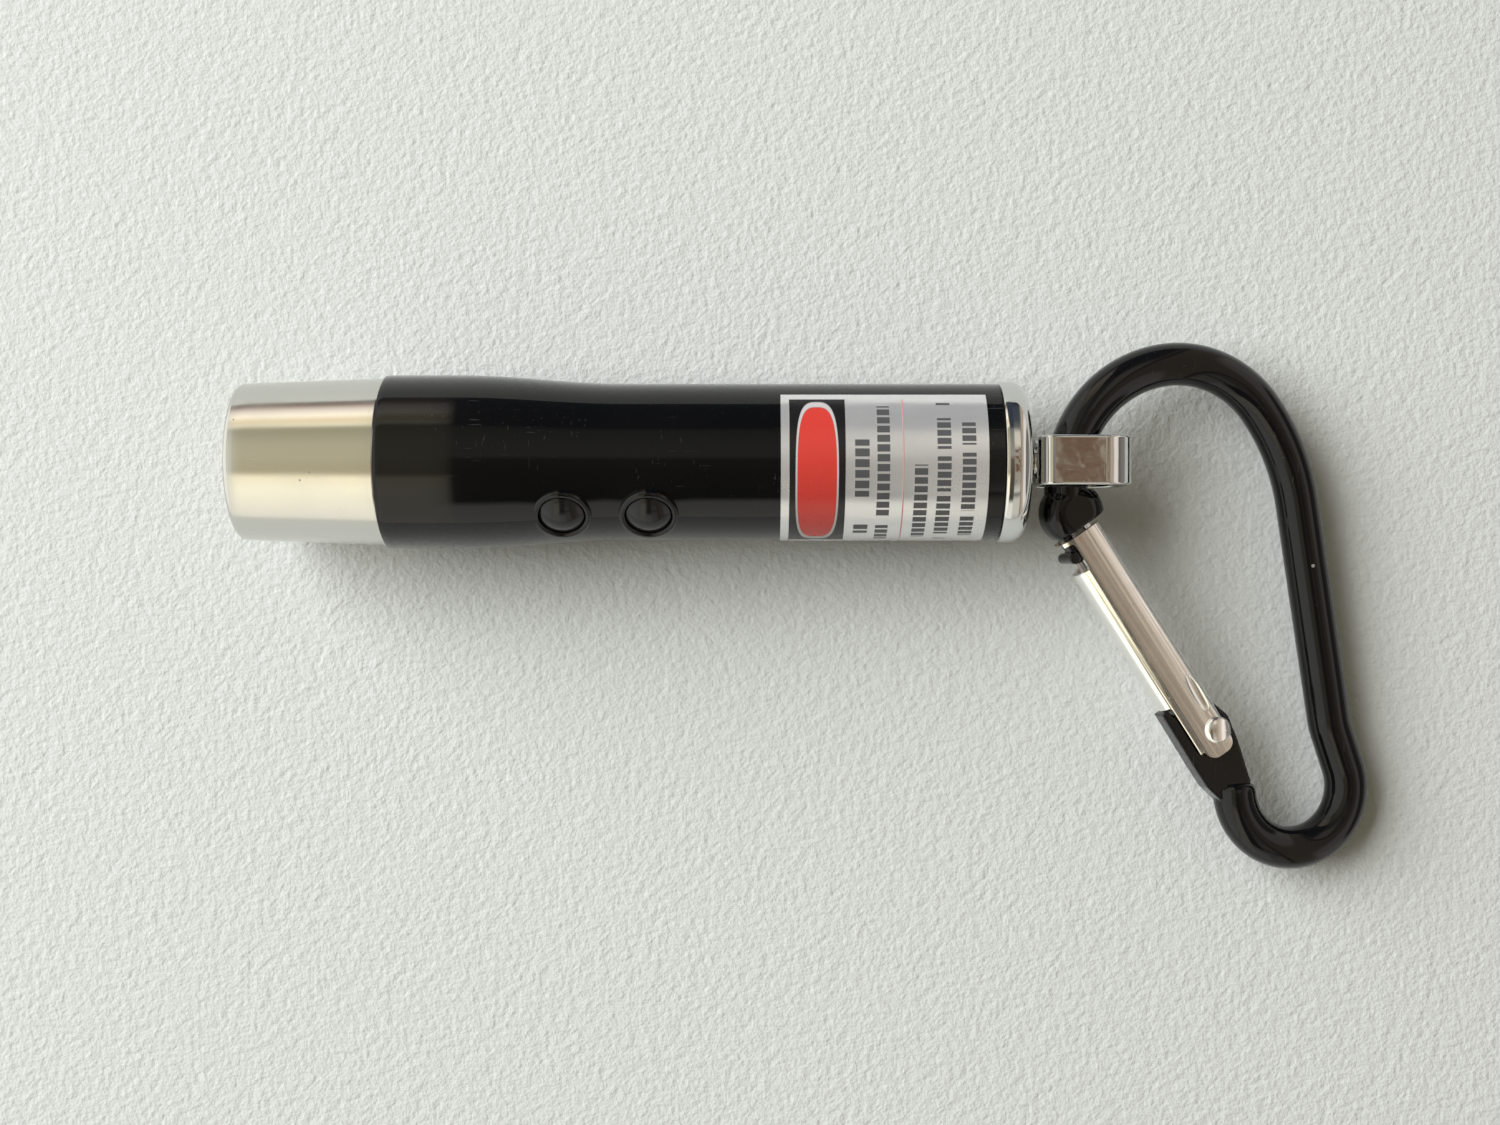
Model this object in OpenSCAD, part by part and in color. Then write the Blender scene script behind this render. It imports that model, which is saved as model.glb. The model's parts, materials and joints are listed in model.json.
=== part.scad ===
// Keychain flashlight with a laser aperture, two push buttons, a swivel ring and a snap clip.
// The flashlight's axis is X. The origin is the middle of the front rim, and the tail is at +X.

/* [Flashlight] */
// Overall length of the flashlight, from the front rim to the tail cap's end
light_len = 75; // [74:0.5:78]
// Diameter of the plain part of the tube
tube_d = 15; // [14.8:0.1:15.4]
// Diameter of the tube at its thick front end
head_d = 16.64; // [16.2:0.1:17]
// Length of the silver front bezel
bezel_len = 14.1; // [13:0.1:15]
// Diameter of the bezel at its front rim
rim_d = 15; // [14.6:0.1:15.6]
// Length of the chrome tail cap outside the tube
cap_len = 2.6; // [2.4:0.1:3]

/* [Buttons] */
// Distance of the front button from the front rim
button_x = 31.2; // [30.5:0.1:32]
// Distance between the two buttons
button_pitch = 8.1; // [7.5:0.1:9]
// Angle of the buttons round the tube, measured from straight up towards -Y
button_turn = 43; // [30:1:60]
// Diameter of each button cap
button_d = 4.2; // [3.8:0.1:4.4]
// How far a button is pressed
button_travel = 0.5; // [0.2:0.1:0.6]

/* [Swivel ring] */
// Length of the ring along the flashlight's axis
ring_len = 9.2; // [9:0.1:10]
// Height of the ring
ring_h = 9; // [8.8:0.1:9.4]
// Width of the ring's flat band
ring_w = 4.7; // [4:0.1:5]
// Thickness of the band
ring_t = 0.7; // [0.6:0.05:0.7]

/* [Snap clip] */
// Diameter of the clip's rod
rod_d = 4.2; // [4:0.05:4.3]
// Tilt of the clip, which leans from the ring down to the table
clip_tilt = 10.9; // [8:0.1:10.9]
// Length of the gate
gate_len = 25.8; // [25:0.1:26]
// Width of the gate
gate_w = 4.6; // [4.4:0.1:4.8]
// Thickness of the gate, wall to wall
gate_t = 3.8; // [3.7:0.1:4]

/* [Hidden] */
$fn = 64;

// Seams and bores of the tube
tube_r = tube_d / 2;
head_r = head_d / 2;
cap_seam = light_len - cap_len;
bore_r = 6.35;
neck_r = 6.95;
neck_x = 7.2;
flare_flat = 20.9;
flare_end = 37;
flare_steps = 12;
run_gap = 0.05;

// Bezel and what it holds
rim_open_r = 5.9;
rim_lip = 1.2;
holder_r = 6.55;
holder_len = 4.2;
led_r = 2.5;
led_z = 2.9;
laser_r = 3;
laser_z = -3;
laser_len = 10;

// Battery stack: three button cells, 11.6 mm across and 5.4 mm thick
cell_r = 5.8;
cell_t = 5.4;
stack_x = 49.4;
stack_end = stack_x + 3 * cell_t;
sleeve_r = 6.3;
sleeve_in = 5.9;

// Tail cap
cap_r = 7.74;
spigot_r = 6.7;
spigot_x = cap_seam - 5;
cap_bore = 5.4;
cap_wall_x = light_len - 1.5;
seat_t = 0.3;
seat_x = cap_wall_x - 1.2;
rivet_r = 1.2;

// Board and switches, measured along the buttons' own axis from the flashlight's axis
board_h = 1.5;
board_t = 1;
board_top = board_h + board_t;
switch_top = board_top + 2.2;
stem_r = 1.1;
stem_in = 0.7;
stem_room = 0.2;
flange_h = switch_top + 0.7;
flange_r = 2.6;
flange_t = 0.4;
button_r = button_d / 2;
button_top = 8.45;
button_ring_r = 2.8;
button_ring_base = 6.9;
button_ring_top = 7.95;

// Swivel
ring_x = light_len + 0.9;
ring_mid_r = 1.5;
ring_end_r = 3;
collar_len = 0.7;
rivet_head_r = 1.7;
rivet_head_t = 0.25;

// Clip, drawn flat in its own plane: x runs from the ring to the spine, y along the flashlight's +Y
rod_r = rod_d / 2;
rod_start = [-0.15, -2.2];
clip_gap = 0.25;
clip_x = ring_x + ring_t + rivet_head_t + rod_r - rod_start[0] + clip_gap;
clip_z = -0.5;
lap = 0.15;
lap_step = 0.01;
// Each bend is [radius, angle]: a right bend is positive, a left bend negative; a straight is [length, 0]
rod_path = [
  [12, 35], [11.8, 50], [10.5, 58], [21, 28], [21.6, 0], [7, -10], [3.8, 0], [5.95, 198]
];
nose_at = [0.38, -4.9];
nose_r = 3.1;
nose_edge = 1.7;
nose_gap = 0.45;
// Gate: its own x runs from the pivot end to the nose, and its y points outwards, away from the clip
gate_at = [15.05, -28.34];
gate_heading = 123.8;
pivot = [2.3, -1];
gate_wall = 0.5;
web_from = 6.6;
lip_from = 9;
notch_from = 22.4;
notch_len = 3;
tongue_t = 2.2;
gate_rivet_r = 0.75;
cam_r = 4.7;
cam_off = 0.9;
plunger_r = 0.95;
plunger_y = 0.75;
plunger_x = 6.75;
plunger_len = 5;
spring_len = 7;

function arc_points(c, r, a0, a1, n) =
  [for (i = [0 : n]) c + r * [cos(a0 + (a1 - a0) * i / n), sin(a0 + (a1 - a0) * i / n)]];

// A closed outline with four rounded corners, from x0 to x1 and half_h either side of the axis
function rounded_outline(x0, x1, half_h, r0, r1, n = 10) = concat(
  arc_points([x1 - r1, half_h - r1], r1, 90, 0, n),
  arc_points([x1 - r1, -half_h + r1], r1, 0, -90, n),
  arc_points([x0 + r0, -half_h + r0], r0, -90, -180, n),
  arc_points([x0 + r0, half_h - r0], r0, 180, 90, n)
);

// Turns a profile of [x, radius] points about the flashlight's axis
module turned(profile, turn = 360, from = 0) {
  rotate([90, 0, 90])
    rotate([0, 0, from])
      rotate_extrude(angle = turn, $fn = 96)
        polygon([for (p = profile) [p[1], p[0]]]);
}

module disc(x, len, r, z = 0) {
  translate([x, 0, z]) rotate([0, 90, 0]) cylinder(r = r, h = len);
}

module hoop(x, len, outer, inner, z = 0) {
  difference() {
    disc(x, len, outer, z);
    disc(x - 1, len + 2, inner, z);
  }
}

// Places a child at x along the tube, with the child's +Z along the buttons' axis
module at_button(x) {
  translate([x, 0, 0]) rotate([button_turn, 0, 0]) children();
}

module both_buttons() {
  at_button(button_x) children();
  at_button(button_x + button_pitch) children();
}

// A wire coil along +Z, from radius r0 to r1, as one closed sweep
module coil(r0, r1, wire, turns, len, per_turn = 14, sides = 6) {
  steps = turns * per_turn;
  ring_points = [for (i = [0 : steps], j = [0 : sides - 1])
    let (a = 360 * i / per_turn, r = r0 + (r1 - r0) * i / steps, b = 360 * j / sides)
      [(r + wire * cos(b)) * cos(a), (r + wire * cos(b)) * sin(a),
       wire + (len - 2 * wire) * i / steps + wire * sin(b)]];
  side_faces = [for (i = [0 : steps - 1], j = [0 : sides - 1], half = [0, 1])
    let (k = (j + 1) % sides, here = i * sides, next = (i + 1) * sides)
      half == 0 ? [here + j, here + k, next + k] : [here + j, next + k, next + j]];
  caps = [[for (j = [sides - 1 : -1 : 0]) j], [for (j = [0 : sides - 1]) steps * sides + j]];
  polyhedron(points = ring_points, faces = concat(side_faces, caps), convexity = 10);
}

// ---- Front end ----

module head_bezel() {
  seam_r = 8.03;
  edge = 0.5;
  color("silver") turned([
    [0, rim_open_r], [0, rim_d / 2 - edge],
    for (i = [1 : 4])
      [edge * (1 - cos(22.5 * i)), rim_d / 2 - edge + edge * sin(22.5 * i)],
    [bezel_len, seam_r], [bezel_len, neck_r + run_gap],
    [neck_x, neck_r + run_gap], [neck_x, holder_r + 0.05],
    [rim_lip, holder_r + 0.05], [rim_lip, rim_open_r]
  ]);
}

module lamp_holder() {
  color("gainsboro") difference() {
    disc(rim_lip, holder_len, holder_r);
    disc(rim_lip - 1, holder_len + 2, led_r + 0.05, led_z);
    disc(rim_lip - 1, holder_len + 2, laser_r + 0.02, laser_z);
  }
}

module white_led() {
  dome_x = 3.4;
  flange_x = rim_lip + holder_len + 0.1;
  color("white") union() {
    translate([dome_x, 0, led_z]) rotate([0, -90, 0]) difference() {
      sphere(r = led_r);
      translate([-5, -5, -10]) cube([10, 10, 10]);
    }
    disc(dome_x, flange_x - dome_x + 0.5, led_r, led_z);
    disc(flange_x, 1, led_r + 0.35, led_z);
  }
}

module led_leads() {
  color("silver") for (side = [-1, 1])
    rotate([button_turn, 0, 0])
      translate([rim_lip + holder_len + 1.1, 1.98 + side * 1.27, 2.12])
        rotate([0, 90, 0]) cylinder(r = 0.25, h = 16 - rim_lip - holder_len - 1.1);
}

module laser_barrel() {
  color("goldenrod") difference() {
    disc(rim_lip + 0.4, laser_len, laser_r, laser_z);
    disc(rim_lip - 1, 3.6, 2.3, laser_z);
    disc(rim_lip - 1, laser_len, 1.6, laser_z);
    disc(rim_lip + 6.4, laser_len, 2.4, laser_z);
  }
}

module laser_lens() {
  color("lightcyan") disc(rim_lip + 1.5, 1.1, 2.28, laser_z);
}

module laser_lens_ring() {
  color("goldenrod") hoop(rim_lip + 0.9, 0.5, 2.28, 1.2, laser_z);
}

module laser_diode() {
  color("dimgray") union() {
    disc(rim_lip + 6.6, 0.8, 2.35, laser_z);
    translate([rim_lip + 7.2, -1.6, laser_z - 1.2]) cube([2.6, 3.2, 2.4]);
  }
}

module laser_wires() {
  wire_r = 0.35;
  bend_x = 14.6;
  color("crimson") rotate([button_turn, 0, 0]) for (side = [-1, 1])
    translate([0, -2.05 + side * 0.6, 0]) {
      translate([rim_lip + 9.9, 0, -2.19])
        rotate([0, 90, 0]) cylinder(r = wire_r, h = bend_x - rim_lip - 9.9);
      translate([bend_x, 0, -2.19]) sphere(r = wire_r + 0.04);
      translate([bend_x, 0, -2.19]) rotate([0, 45, 0])
        cylinder(r = wire_r, h = (board_h + 2.19) * sqrt(2) - 0.5);
    }
}

// ---- Board, switches and buttons ----

module circuit_board() {
  color("seagreen") rotate([button_turn, 0, 0])
    translate([16, -4.5, board_h]) cube([stack_x - 0.4 - 16, 9, board_t]);
}

module chip_resistors() {
  color("black") rotate([button_turn, 0, 0])
    for (x = [20, 23, 45])
      translate([x, -0.8, board_top]) cube([0.8, 1.6, 0.5]);
}

module tact_switch() {
  color("dimgray") difference() {
    translate([-2.25, -2.25, board_top]) cube([4.5, 4.5, switch_top - board_top]);
    translate([0, 0, switch_top - stem_in - button_travel - stem_room])
      cylinder(r = stem_r + 0.1, h = 3);
  }
}

module laser_switch() {
  at_button(button_x) tact_switch();
}

module light_switch() {
  at_button(button_x + button_pitch) tact_switch();
}

module switch_stem() {
  color("black") translate([0, 0, switch_top - stem_in])
    cylinder(r = stem_r, h = flange_h - switch_top + stem_in);
}

module laser_switch_stem() {
  at_button(button_x) switch_stem();
}

module light_switch_stem() {
  at_button(button_x + button_pitch) switch_stem();
}

// A domed cap on a stem, with a flange inside the tube that keeps it in
module push_button() {
  dome_sag = 0.75;
  dome_r = (button_r * button_r + dome_sag * dome_sag) / (2 * dome_sag);
  dome_steps = 8;
  dome_turn = asin(button_r / dome_r);
  color("#1b1b1d") rotate_extrude($fn = 48) polygon([
    [0, flange_h], [flange_r, flange_h], [flange_r, flange_h + flange_t], [button_r, flange_h + flange_t],
    for (i = [0 : dome_steps])
      let (a = dome_turn * (1 - i / dome_steps))
        [dome_r * sin(a), button_top - dome_r + dome_r * cos(a)]
  ]);
}

module laser_button() {
  at_button(button_x) push_button();
}

module light_button() {
  at_button(button_x + button_pitch) push_button();
}

module button_ring() {
  color("#101012") difference() {
    translate([0, 0, button_ring_base]) cylinder(r = button_ring_r, h = button_ring_top - button_ring_base);
    cylinder(r = button_r + run_gap, h = 10);
  }
}

module laser_button_ring() {
  at_button(button_x) button_ring();
}

module light_button_ring() {
  at_button(button_x + button_pitch) button_ring();
}

// ---- Tube and label ----

function flare_r(t) = tube_r + (head_r - tube_r) * (1 + cos(180 * t)) / 2;

module body_tube() {
  color("#0c0c0e") difference() {
    turned([
      [neck_x + 0.05, bore_r], [neck_x + 0.05, neck_r], [bezel_len, neck_r],
      [bezel_len, head_r - 0.12], [bezel_len + 0.12, head_r], [flare_flat, head_r],
      for (i = [1 : flare_steps])
        [flare_flat + (flare_end - flare_flat) * i / flare_steps, flare_r(i / flare_steps)],
      [cap_seam, tube_r], [cap_seam, spigot_r + run_gap],
      [spigot_x - 0.3, spigot_r + run_gap], [spigot_x - 0.3, bore_r]
    ]);
    both_buttons() union() {
      cylinder(r = button_r + run_gap, h = 12);
      translate([0, 0, button_ring_base]) cylinder(r = button_ring_r, h = 5);
    }
  }
}

module foil_label() {
  label_x = 51.6;
  label_len = 19.2;
  label_t = 0.1;
  color("lightgray") turned([
    [label_x, tube_r], [label_x, tube_r + label_t],
    [label_x + label_len, tube_r + label_t], [label_x + label_len, tube_r]
  ], 138, 37);
}

// ---- Battery stack ----

module battery_sleeve() {
  color("whitesmoke") hoop(stack_x, spigot_x - 0.4 - stack_x, sleeve_r, sleeve_in);
}

module positive_contact() {
  color("gold") union() {
    disc(stack_x - 0.3, 0.3, 4.6);
    rotate([button_turn, 0, 0]) translate([stack_x - 2.6, -1.5, board_top]) cube([2.5, 3, 0.25]);
  }
}

// One button cell with its can's rounded rim and the smaller negative lid
module button_cell(x) {
  rim = 0.35;
  lid_t = 0.5;
  lid_r = 4.9;
  color("silver") turned([
    [x, 0], [x, cell_r - rim], [x + rim, cell_r], [x + cell_t - lid_t, cell_r],
    [x + cell_t - lid_t, lid_r], [x + cell_t, lid_r], [x + cell_t, 0]
  ]);
}

module front_cell() {
  button_cell(stack_x);
}

module middle_cell() {
  button_cell(stack_x + cell_t);
}

module rear_cell() {
  button_cell(stack_x + 2 * cell_t);
}

module tail_spring() {
  color("silver") translate([stack_end, 0, 0]) rotate([0, 90, 0])
    coil(2.6, 4.4, 0.25, 4, seat_x - stack_end);
}

module spring_seat() {
  color("gold") hoop(seat_x, seat_t, 5.2, 1.8);
}

// ---- Tail cap and swivel ----

module tail_cap() {
  edge = 1.6;
  color("silver") difference() {
    turned([
      [spigot_x, cap_bore], [spigot_x, spigot_r], [cap_seam, spigot_r],
      [cap_seam, cap_r - 0.1], [cap_seam + 0.1, cap_r], [light_len - edge, cap_r],
      for (i = [1 : 6]) [light_len - edge + edge * sin(15 * i), cap_r - edge + edge * cos(15 * i)],
      [light_len, 0], [cap_wall_x, 0], [cap_wall_x, cap_bore]
    ]);
    disc(cap_wall_x - 1, 4, rivet_r);
  }
}

module cap_gasket() {
  color("#202020") hoop(spigot_x - 0.25, 0.2, spigot_r - 0.1, cap_bore + 0.4);
}

module swivel_collar() {
  color("silver") hoop(light_len, collar_len, 2.2, rivet_r);
}

module swivel_rivet() {
  color("silver") union() {
    disc(cap_wall_x - 0.5, 0.5, 1.7);
    disc(cap_wall_x - 0.1, ring_x + ring_t - cap_wall_x + 0.2, rivet_r);
    disc(ring_x + ring_t + 0.05, rivet_head_t - 0.05, rivet_head_r);
  }
}

module swivel_ring() {
  half_h = ring_h / 2;
  color("silver") difference() {
    rotate([90, 0, 0]) linear_extrude(height = ring_w, center = true)
      polygon(rounded_outline(ring_x, ring_x + ring_len, half_h, ring_mid_r, ring_end_r));
    rotate([90, 0, 0]) linear_extrude(height = ring_w + 2, center = true)
      polygon(rounded_outline(ring_x + ring_t, ring_x + ring_len - ring_t, half_h - ring_t,
        ring_mid_r - ring_t, ring_end_r - ring_t));
    disc(ring_x - 1, ring_t + 2, rivet_r + run_gap);
  }
}

// ---- Snap clip ----

// The clip's own plane, hung in the ring and leaning down to the table
module on_clip() {
  translate([clip_x, 0, clip_z]) rotate([0, clip_tilt, 0]) children();
}

// The gate's frame inside the clip's plane
module on_gate() {
  on_clip() translate([gate_at[0], gate_at[1], 0]) rotate([0, 0, gate_heading]) children();
}

// One bend from the local origin, heading along +Y; over is how far it reaches back and on
module bend(radius, angle, r, over) {
  lean = over / radius * 180 / PI;
  side = angle > 0 ? 1 : -1;
  translate([side * radius, 0, 0])
    mirror([angle > 0 ? 1 : 0, 0, 0])
      rotate([0, 0, -lean])
        rotate_extrude(angle = abs(angle) + 2 * lean, $fn = 96)
          translate([radius, 0]) circle(r = r, $fn = 48);
}

module straight(len, r, over) {
  translate([0, -over, 0]) rotate([-90, 0, 0]) cylinder(r = r, h = len + 2 * over, $fn = 48);
}

// Draws the rod from segment i on; odd segments are a hair thinner and reach into their neighbours
module rod_from(i) {
  size = rod_path[i][0];
  angle = rod_path[i][1];
  thin = i % 2 == 1;
  r = thin ? rod_r - lap_step : rod_r;
  over = thin ? lap : 0;
  if (angle == 0) straight(size, r, over);
  else bend(size, angle, r, over);
  if (i + 1 < len(rod_path)) {
    if (angle == 0) translate([0, size, 0]) rod_from(i + 1);
    else translate([sign(angle) * size, 0, 0]) rotate([0, 0, -angle])
      translate([-sign(angle) * size, 0, 0]) rod_from(i + 1);
  }
}

// The flattened knob at the nose, a round-edged disc
module nose_knob() {
  translate([nose_at[0], nose_at[1], 0]) rotate_extrude($fn = 64)
    polygon(concat(
      [[0, -rod_r]],
      arc_points([nose_r - nose_edge, -rod_r + nose_edge], nose_edge, -90, 0, 8),
      arc_points([nose_r - nose_edge, rod_r - nose_edge], nose_edge, 0, 90, 8),
      [[0, rod_r]]
    ));
}

// The flat tongue that the gate turns on, with a cam on its end; drawn in the gate's frame
module pivot_tongue() {
  horn_y = 3.62;
  difference() {
    translate([pivot[0], pivot[1], -tongue_t / 2]) linear_extrude(height = tongue_t) {
      polygon([
        [-6.6, -0.35], [-4.9, -0.8], [-2.4, -1.5], [0.3, -2], [2.2, -1.4], [3.2, 0],
        [3.2, 2.7], [4.1, 2.9], [4.1, horn_y], [-2.1, horn_y + 0.1], [-4.4, 3.7], [-6.9, 3.1]
      ]);
      intersection() {
        translate([cam_off * cos(81), -cam_off * sin(81)]) circle(r = cam_r, $fn = 96);
        polygon([[-1, -1.6], [6, -0.7], [6, 4.7], [3.3, 2.78], [-1, 2]]);
      }
    }
    translate([pivot[0], pivot[1], -3]) cylinder(r = gate_rivet_r, h = 6);
  }
}

// The nose's own tongue and its cross stud, which the gate's notches close over
module nose_tongue() {
  stud_x = notch_from + 1.7;
  union() {
    translate([notch_from + 0.9, 0.55, -0.9]) cube([5.2, 0.95, 1.8]);
    translate([stud_x, 1.75, -1.75]) cylinder(r = 0.55, h = 3.5);
    translate([stud_x - 0.4, 1, -0.9]) cube([0.8, 0.9, 1.8]);
  }
}

module clip_frame() {
  color("#0b0b0d") {
    on_clip() difference() {
      union() {
        translate([rod_start[0], rod_start[1], 0]) rod_from(0);
        translate([rod_start[0], rod_start[1] - 2, 0]) rotate([-90, 0, 0])
          cylinder(r = rod_r - lap_step, h = 2 + lap);
        nose_knob();
      }
      // the knob is cut square to the gate, clear of the path of the gate's end
      translate([gate_at[0], gate_at[1], 0]) rotate([0, 0, gate_heading])
        translate([gate_len - 12 + nose_gap, -8, -5]) cube([12, 16, 10]);
    }
    on_gate() pivot_tongue();
    on_gate() nose_tongue();
  }
}

// Half-round web on the outer side, flat walls, and curled lips on the inner side
function gate_outline(inset) = concat(
  arc_points([gate_w / 2 - gate_t / 2, 0], gate_t / 2 - inset, -90, 90, 16),
  arc_points([-gate_w / 2 + 0.9, gate_t / 2 - 0.9], 0.9 - inset, 90, 180, 6),
  arc_points([-gate_w / 2 + 0.9, -gate_t / 2 + 0.9], 0.9 - inset, 180, 270, 6)
);

module gate_sweep(x, len, inset) {
  translate([x, 0, 0]) rotate([90, 0, 90]) linear_extrude(height = len)
    polygon(gate_outline(inset));
}

module clip_gate() {
  corner = 1.1;
  color("silver") on_gate() difference() {
    union() {
      difference() {
        gate_sweep(0, gate_len, 0);
        gate_sweep(-1, gate_len + 2, gate_wall);
      }
      // the folded stop that the spring pushes against
      translate([plunger_x + plunger_len + 0.6 + spring_len, -0.2, -gate_t / 2 + 0.2])
        cube([0.6, gate_w / 2, gate_t - 0.4]);
    }
    // the slot between the lips, wider near the pivot so that the tongue can pass
    translate([-1, -gate_w, -0.8]) cube([gate_len + 2, gate_w, 1.6]);
    translate([-1, -gate_w, -gate_t / 2 + gate_wall]) cube([lip_from + 1, gate_w, gate_t - 2 * gate_wall]);
    // the web is cut back round the tongue, and slotted at the nose
    translate([-1, 0, -gate_t / 2 + gate_wall]) cube([web_from + 1, gate_w, gate_t - 2 * gate_wall]);
    translate([-1, gate_w / 2 - 0.7, -5]) cube([web_from + 1, 4, 10]);
    translate([notch_from, 0, -1.1]) cube([gate_len, gate_w, 2.2]);
    translate([notch_from, 1.1, -5]) cube([notch_len, 4, 10]);
    // rounded corners at the pivot end, and the rivet's hole
    gate_corner(corner, 1);
    gate_corner(corner, -1);
    translate([pivot[0], pivot[1], -5]) cylinder(r = gate_rivet_r + run_gap, h = 10);
    // pressed dimple
    for (x = [4.9, 8]) translate([x, -1.25, gate_t / 2 - 0.2]) cylinder(r = 0.55, h = 2);
    translate([4.9, -1.8, gate_t / 2 - 0.19]) cube([3.1, 1.1, 2]);
  }
}

module gate_corner(r, side) {
  edge = gate_w / 2 - 0.4;
  translate([0, side * edge, -5]) difference() {
    translate([-1, side > 0 ? -r : -1, 0]) cube([r + 1, r + 1, 10]);
    translate([r, -side * r, -1]) cylinder(r = r, h = 12);
  }
}

module gate_rivet() {
  head_r = 1.3;
  head_sag = 0.55;
  head_ball = (head_r * head_r + head_sag * head_sag) / (2 * head_sag);
  head_turn = asin(head_r / head_ball);
  top = gate_t / 2 + 0.05;
  color("silver") on_gate() translate([pivot[0], pivot[1], 0]) rotate_extrude($fn = 48)
    polygon(concat(
      [for (i = [0 : 6]) let (a = head_turn * i / 6)
        [head_ball * sin(a), top + head_sag - head_ball + head_ball * cos(a)]],
      [[gate_rivet_r, top], [gate_rivet_r, -top]],
      [for (i = [6 : -1 : 0]) let (a = head_turn * i / 6)
        [head_ball * sin(a), -(top + head_sag - head_ball + head_ball * cos(a))]]
    ));
}

module gate_plunger() {
  tip = 0.5;
  color("silver") on_gate() translate([plunger_x, plunger_y, 0]) rotate([0, 90, 0])
    rotate_extrude($fn = 32) polygon([
      [0, 0], [plunger_r - tip, 0],
      for (i = [1 : 4]) [plunger_r - tip + tip * sin(22.5 * i), tip - tip * cos(22.5 * i)],
      [plunger_r, plunger_len], [0, plunger_len]
    ]);
}

module gate_spring() {
  color("silver") on_gate() translate([plunger_x + plunger_len + 0.55, plunger_y, 0]) rotate([0, 90, 0])
    coil(0.72, 0.72, 0.16, 7, spring_len, 12);
}

head_bezel();
lamp_holder();
white_led();
led_leads();
laser_barrel();
laser_lens();
laser_lens_ring();
laser_diode();
laser_wires();
circuit_board();
chip_resistors();
laser_switch();
light_switch();
laser_switch_stem();
light_switch_stem();
laser_button();
light_button();
laser_button_ring();
light_button_ring();
body_tube();
foil_label();
battery_sleeve();
positive_contact();
front_cell();
middle_cell();
rear_cell();
tail_spring();
spring_seat();
tail_cap();
cap_gasket();
swivel_collar();
swivel_rivet();
swivel_ring();
clip_frame();
clip_gate();
gate_rivet();
gate_plunger();
gate_spring();
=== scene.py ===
"""Keychain flashlight: the visible pieces, their finishes, the table, the light and the camera.

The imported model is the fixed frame. Every visible piece is modelled again on it, at full smoothness,
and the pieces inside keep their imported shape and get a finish. Shape sizes are in millimetres; the
meshes are in metres.
"""
from __future__ import annotations

import json
import logging
import math
from collections.abc import Callable, Sequence
from dataclasses import dataclass, field
from enum import Enum

import bmesh
import bpy
from mathutils import Matrix, Vector

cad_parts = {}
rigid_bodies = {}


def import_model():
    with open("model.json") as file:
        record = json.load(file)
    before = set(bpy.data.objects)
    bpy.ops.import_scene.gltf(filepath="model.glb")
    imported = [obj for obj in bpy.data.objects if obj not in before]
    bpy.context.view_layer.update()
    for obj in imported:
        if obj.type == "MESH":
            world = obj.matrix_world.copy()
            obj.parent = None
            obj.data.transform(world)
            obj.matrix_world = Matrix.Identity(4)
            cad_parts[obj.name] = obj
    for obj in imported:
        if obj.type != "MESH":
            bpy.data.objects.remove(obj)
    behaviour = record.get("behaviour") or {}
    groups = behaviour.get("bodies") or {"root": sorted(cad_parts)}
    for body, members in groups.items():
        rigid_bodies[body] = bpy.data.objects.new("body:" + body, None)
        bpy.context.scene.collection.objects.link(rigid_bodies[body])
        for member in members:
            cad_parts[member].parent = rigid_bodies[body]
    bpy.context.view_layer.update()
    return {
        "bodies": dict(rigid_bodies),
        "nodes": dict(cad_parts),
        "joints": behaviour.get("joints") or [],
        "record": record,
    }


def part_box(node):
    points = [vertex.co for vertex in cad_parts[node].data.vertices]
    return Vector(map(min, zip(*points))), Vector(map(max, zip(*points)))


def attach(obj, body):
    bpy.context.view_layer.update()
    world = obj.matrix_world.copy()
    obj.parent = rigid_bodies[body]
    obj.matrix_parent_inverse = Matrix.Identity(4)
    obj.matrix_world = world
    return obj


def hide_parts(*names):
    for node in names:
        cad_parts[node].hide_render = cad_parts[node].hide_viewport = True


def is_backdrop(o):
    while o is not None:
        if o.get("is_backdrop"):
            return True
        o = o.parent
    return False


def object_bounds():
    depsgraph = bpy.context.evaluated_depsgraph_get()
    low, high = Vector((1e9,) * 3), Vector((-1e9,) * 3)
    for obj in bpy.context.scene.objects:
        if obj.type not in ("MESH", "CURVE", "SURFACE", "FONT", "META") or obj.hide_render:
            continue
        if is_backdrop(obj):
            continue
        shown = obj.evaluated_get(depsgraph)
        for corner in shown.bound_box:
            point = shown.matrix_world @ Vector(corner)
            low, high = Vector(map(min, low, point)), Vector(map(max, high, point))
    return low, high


MM = 0.001
LOG = logging.getLogger("flashlight")
Piece = bpy.types.Object
Material = bpy.types.Material
Tree = bpy.types.NodeTree
Node = bpy.types.Node
Socket = bpy.types.NodeSocket
Edge = bmesh.types.BMEdge
Face = bmesh.types.BMFace
Profile = Sequence[tuple[float, float]]
Colour = tuple[float, float, float]
Stops = Sequence[tuple[float, Colour]]
Block = tuple[float, float, float, float]


class Tool(Enum):
    """What a cutter does to a piece: it takes its own shape away, or leaves only that."""

    CUT = "DIFFERENCE"
    KEEP = "INTERSECT"


class Ends(Enum):
    """How a turned piece ends: left open, filled, or joined round through its bore."""

    OPEN = "open"
    FILLED = "filled"
    BORED = "bored"


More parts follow.
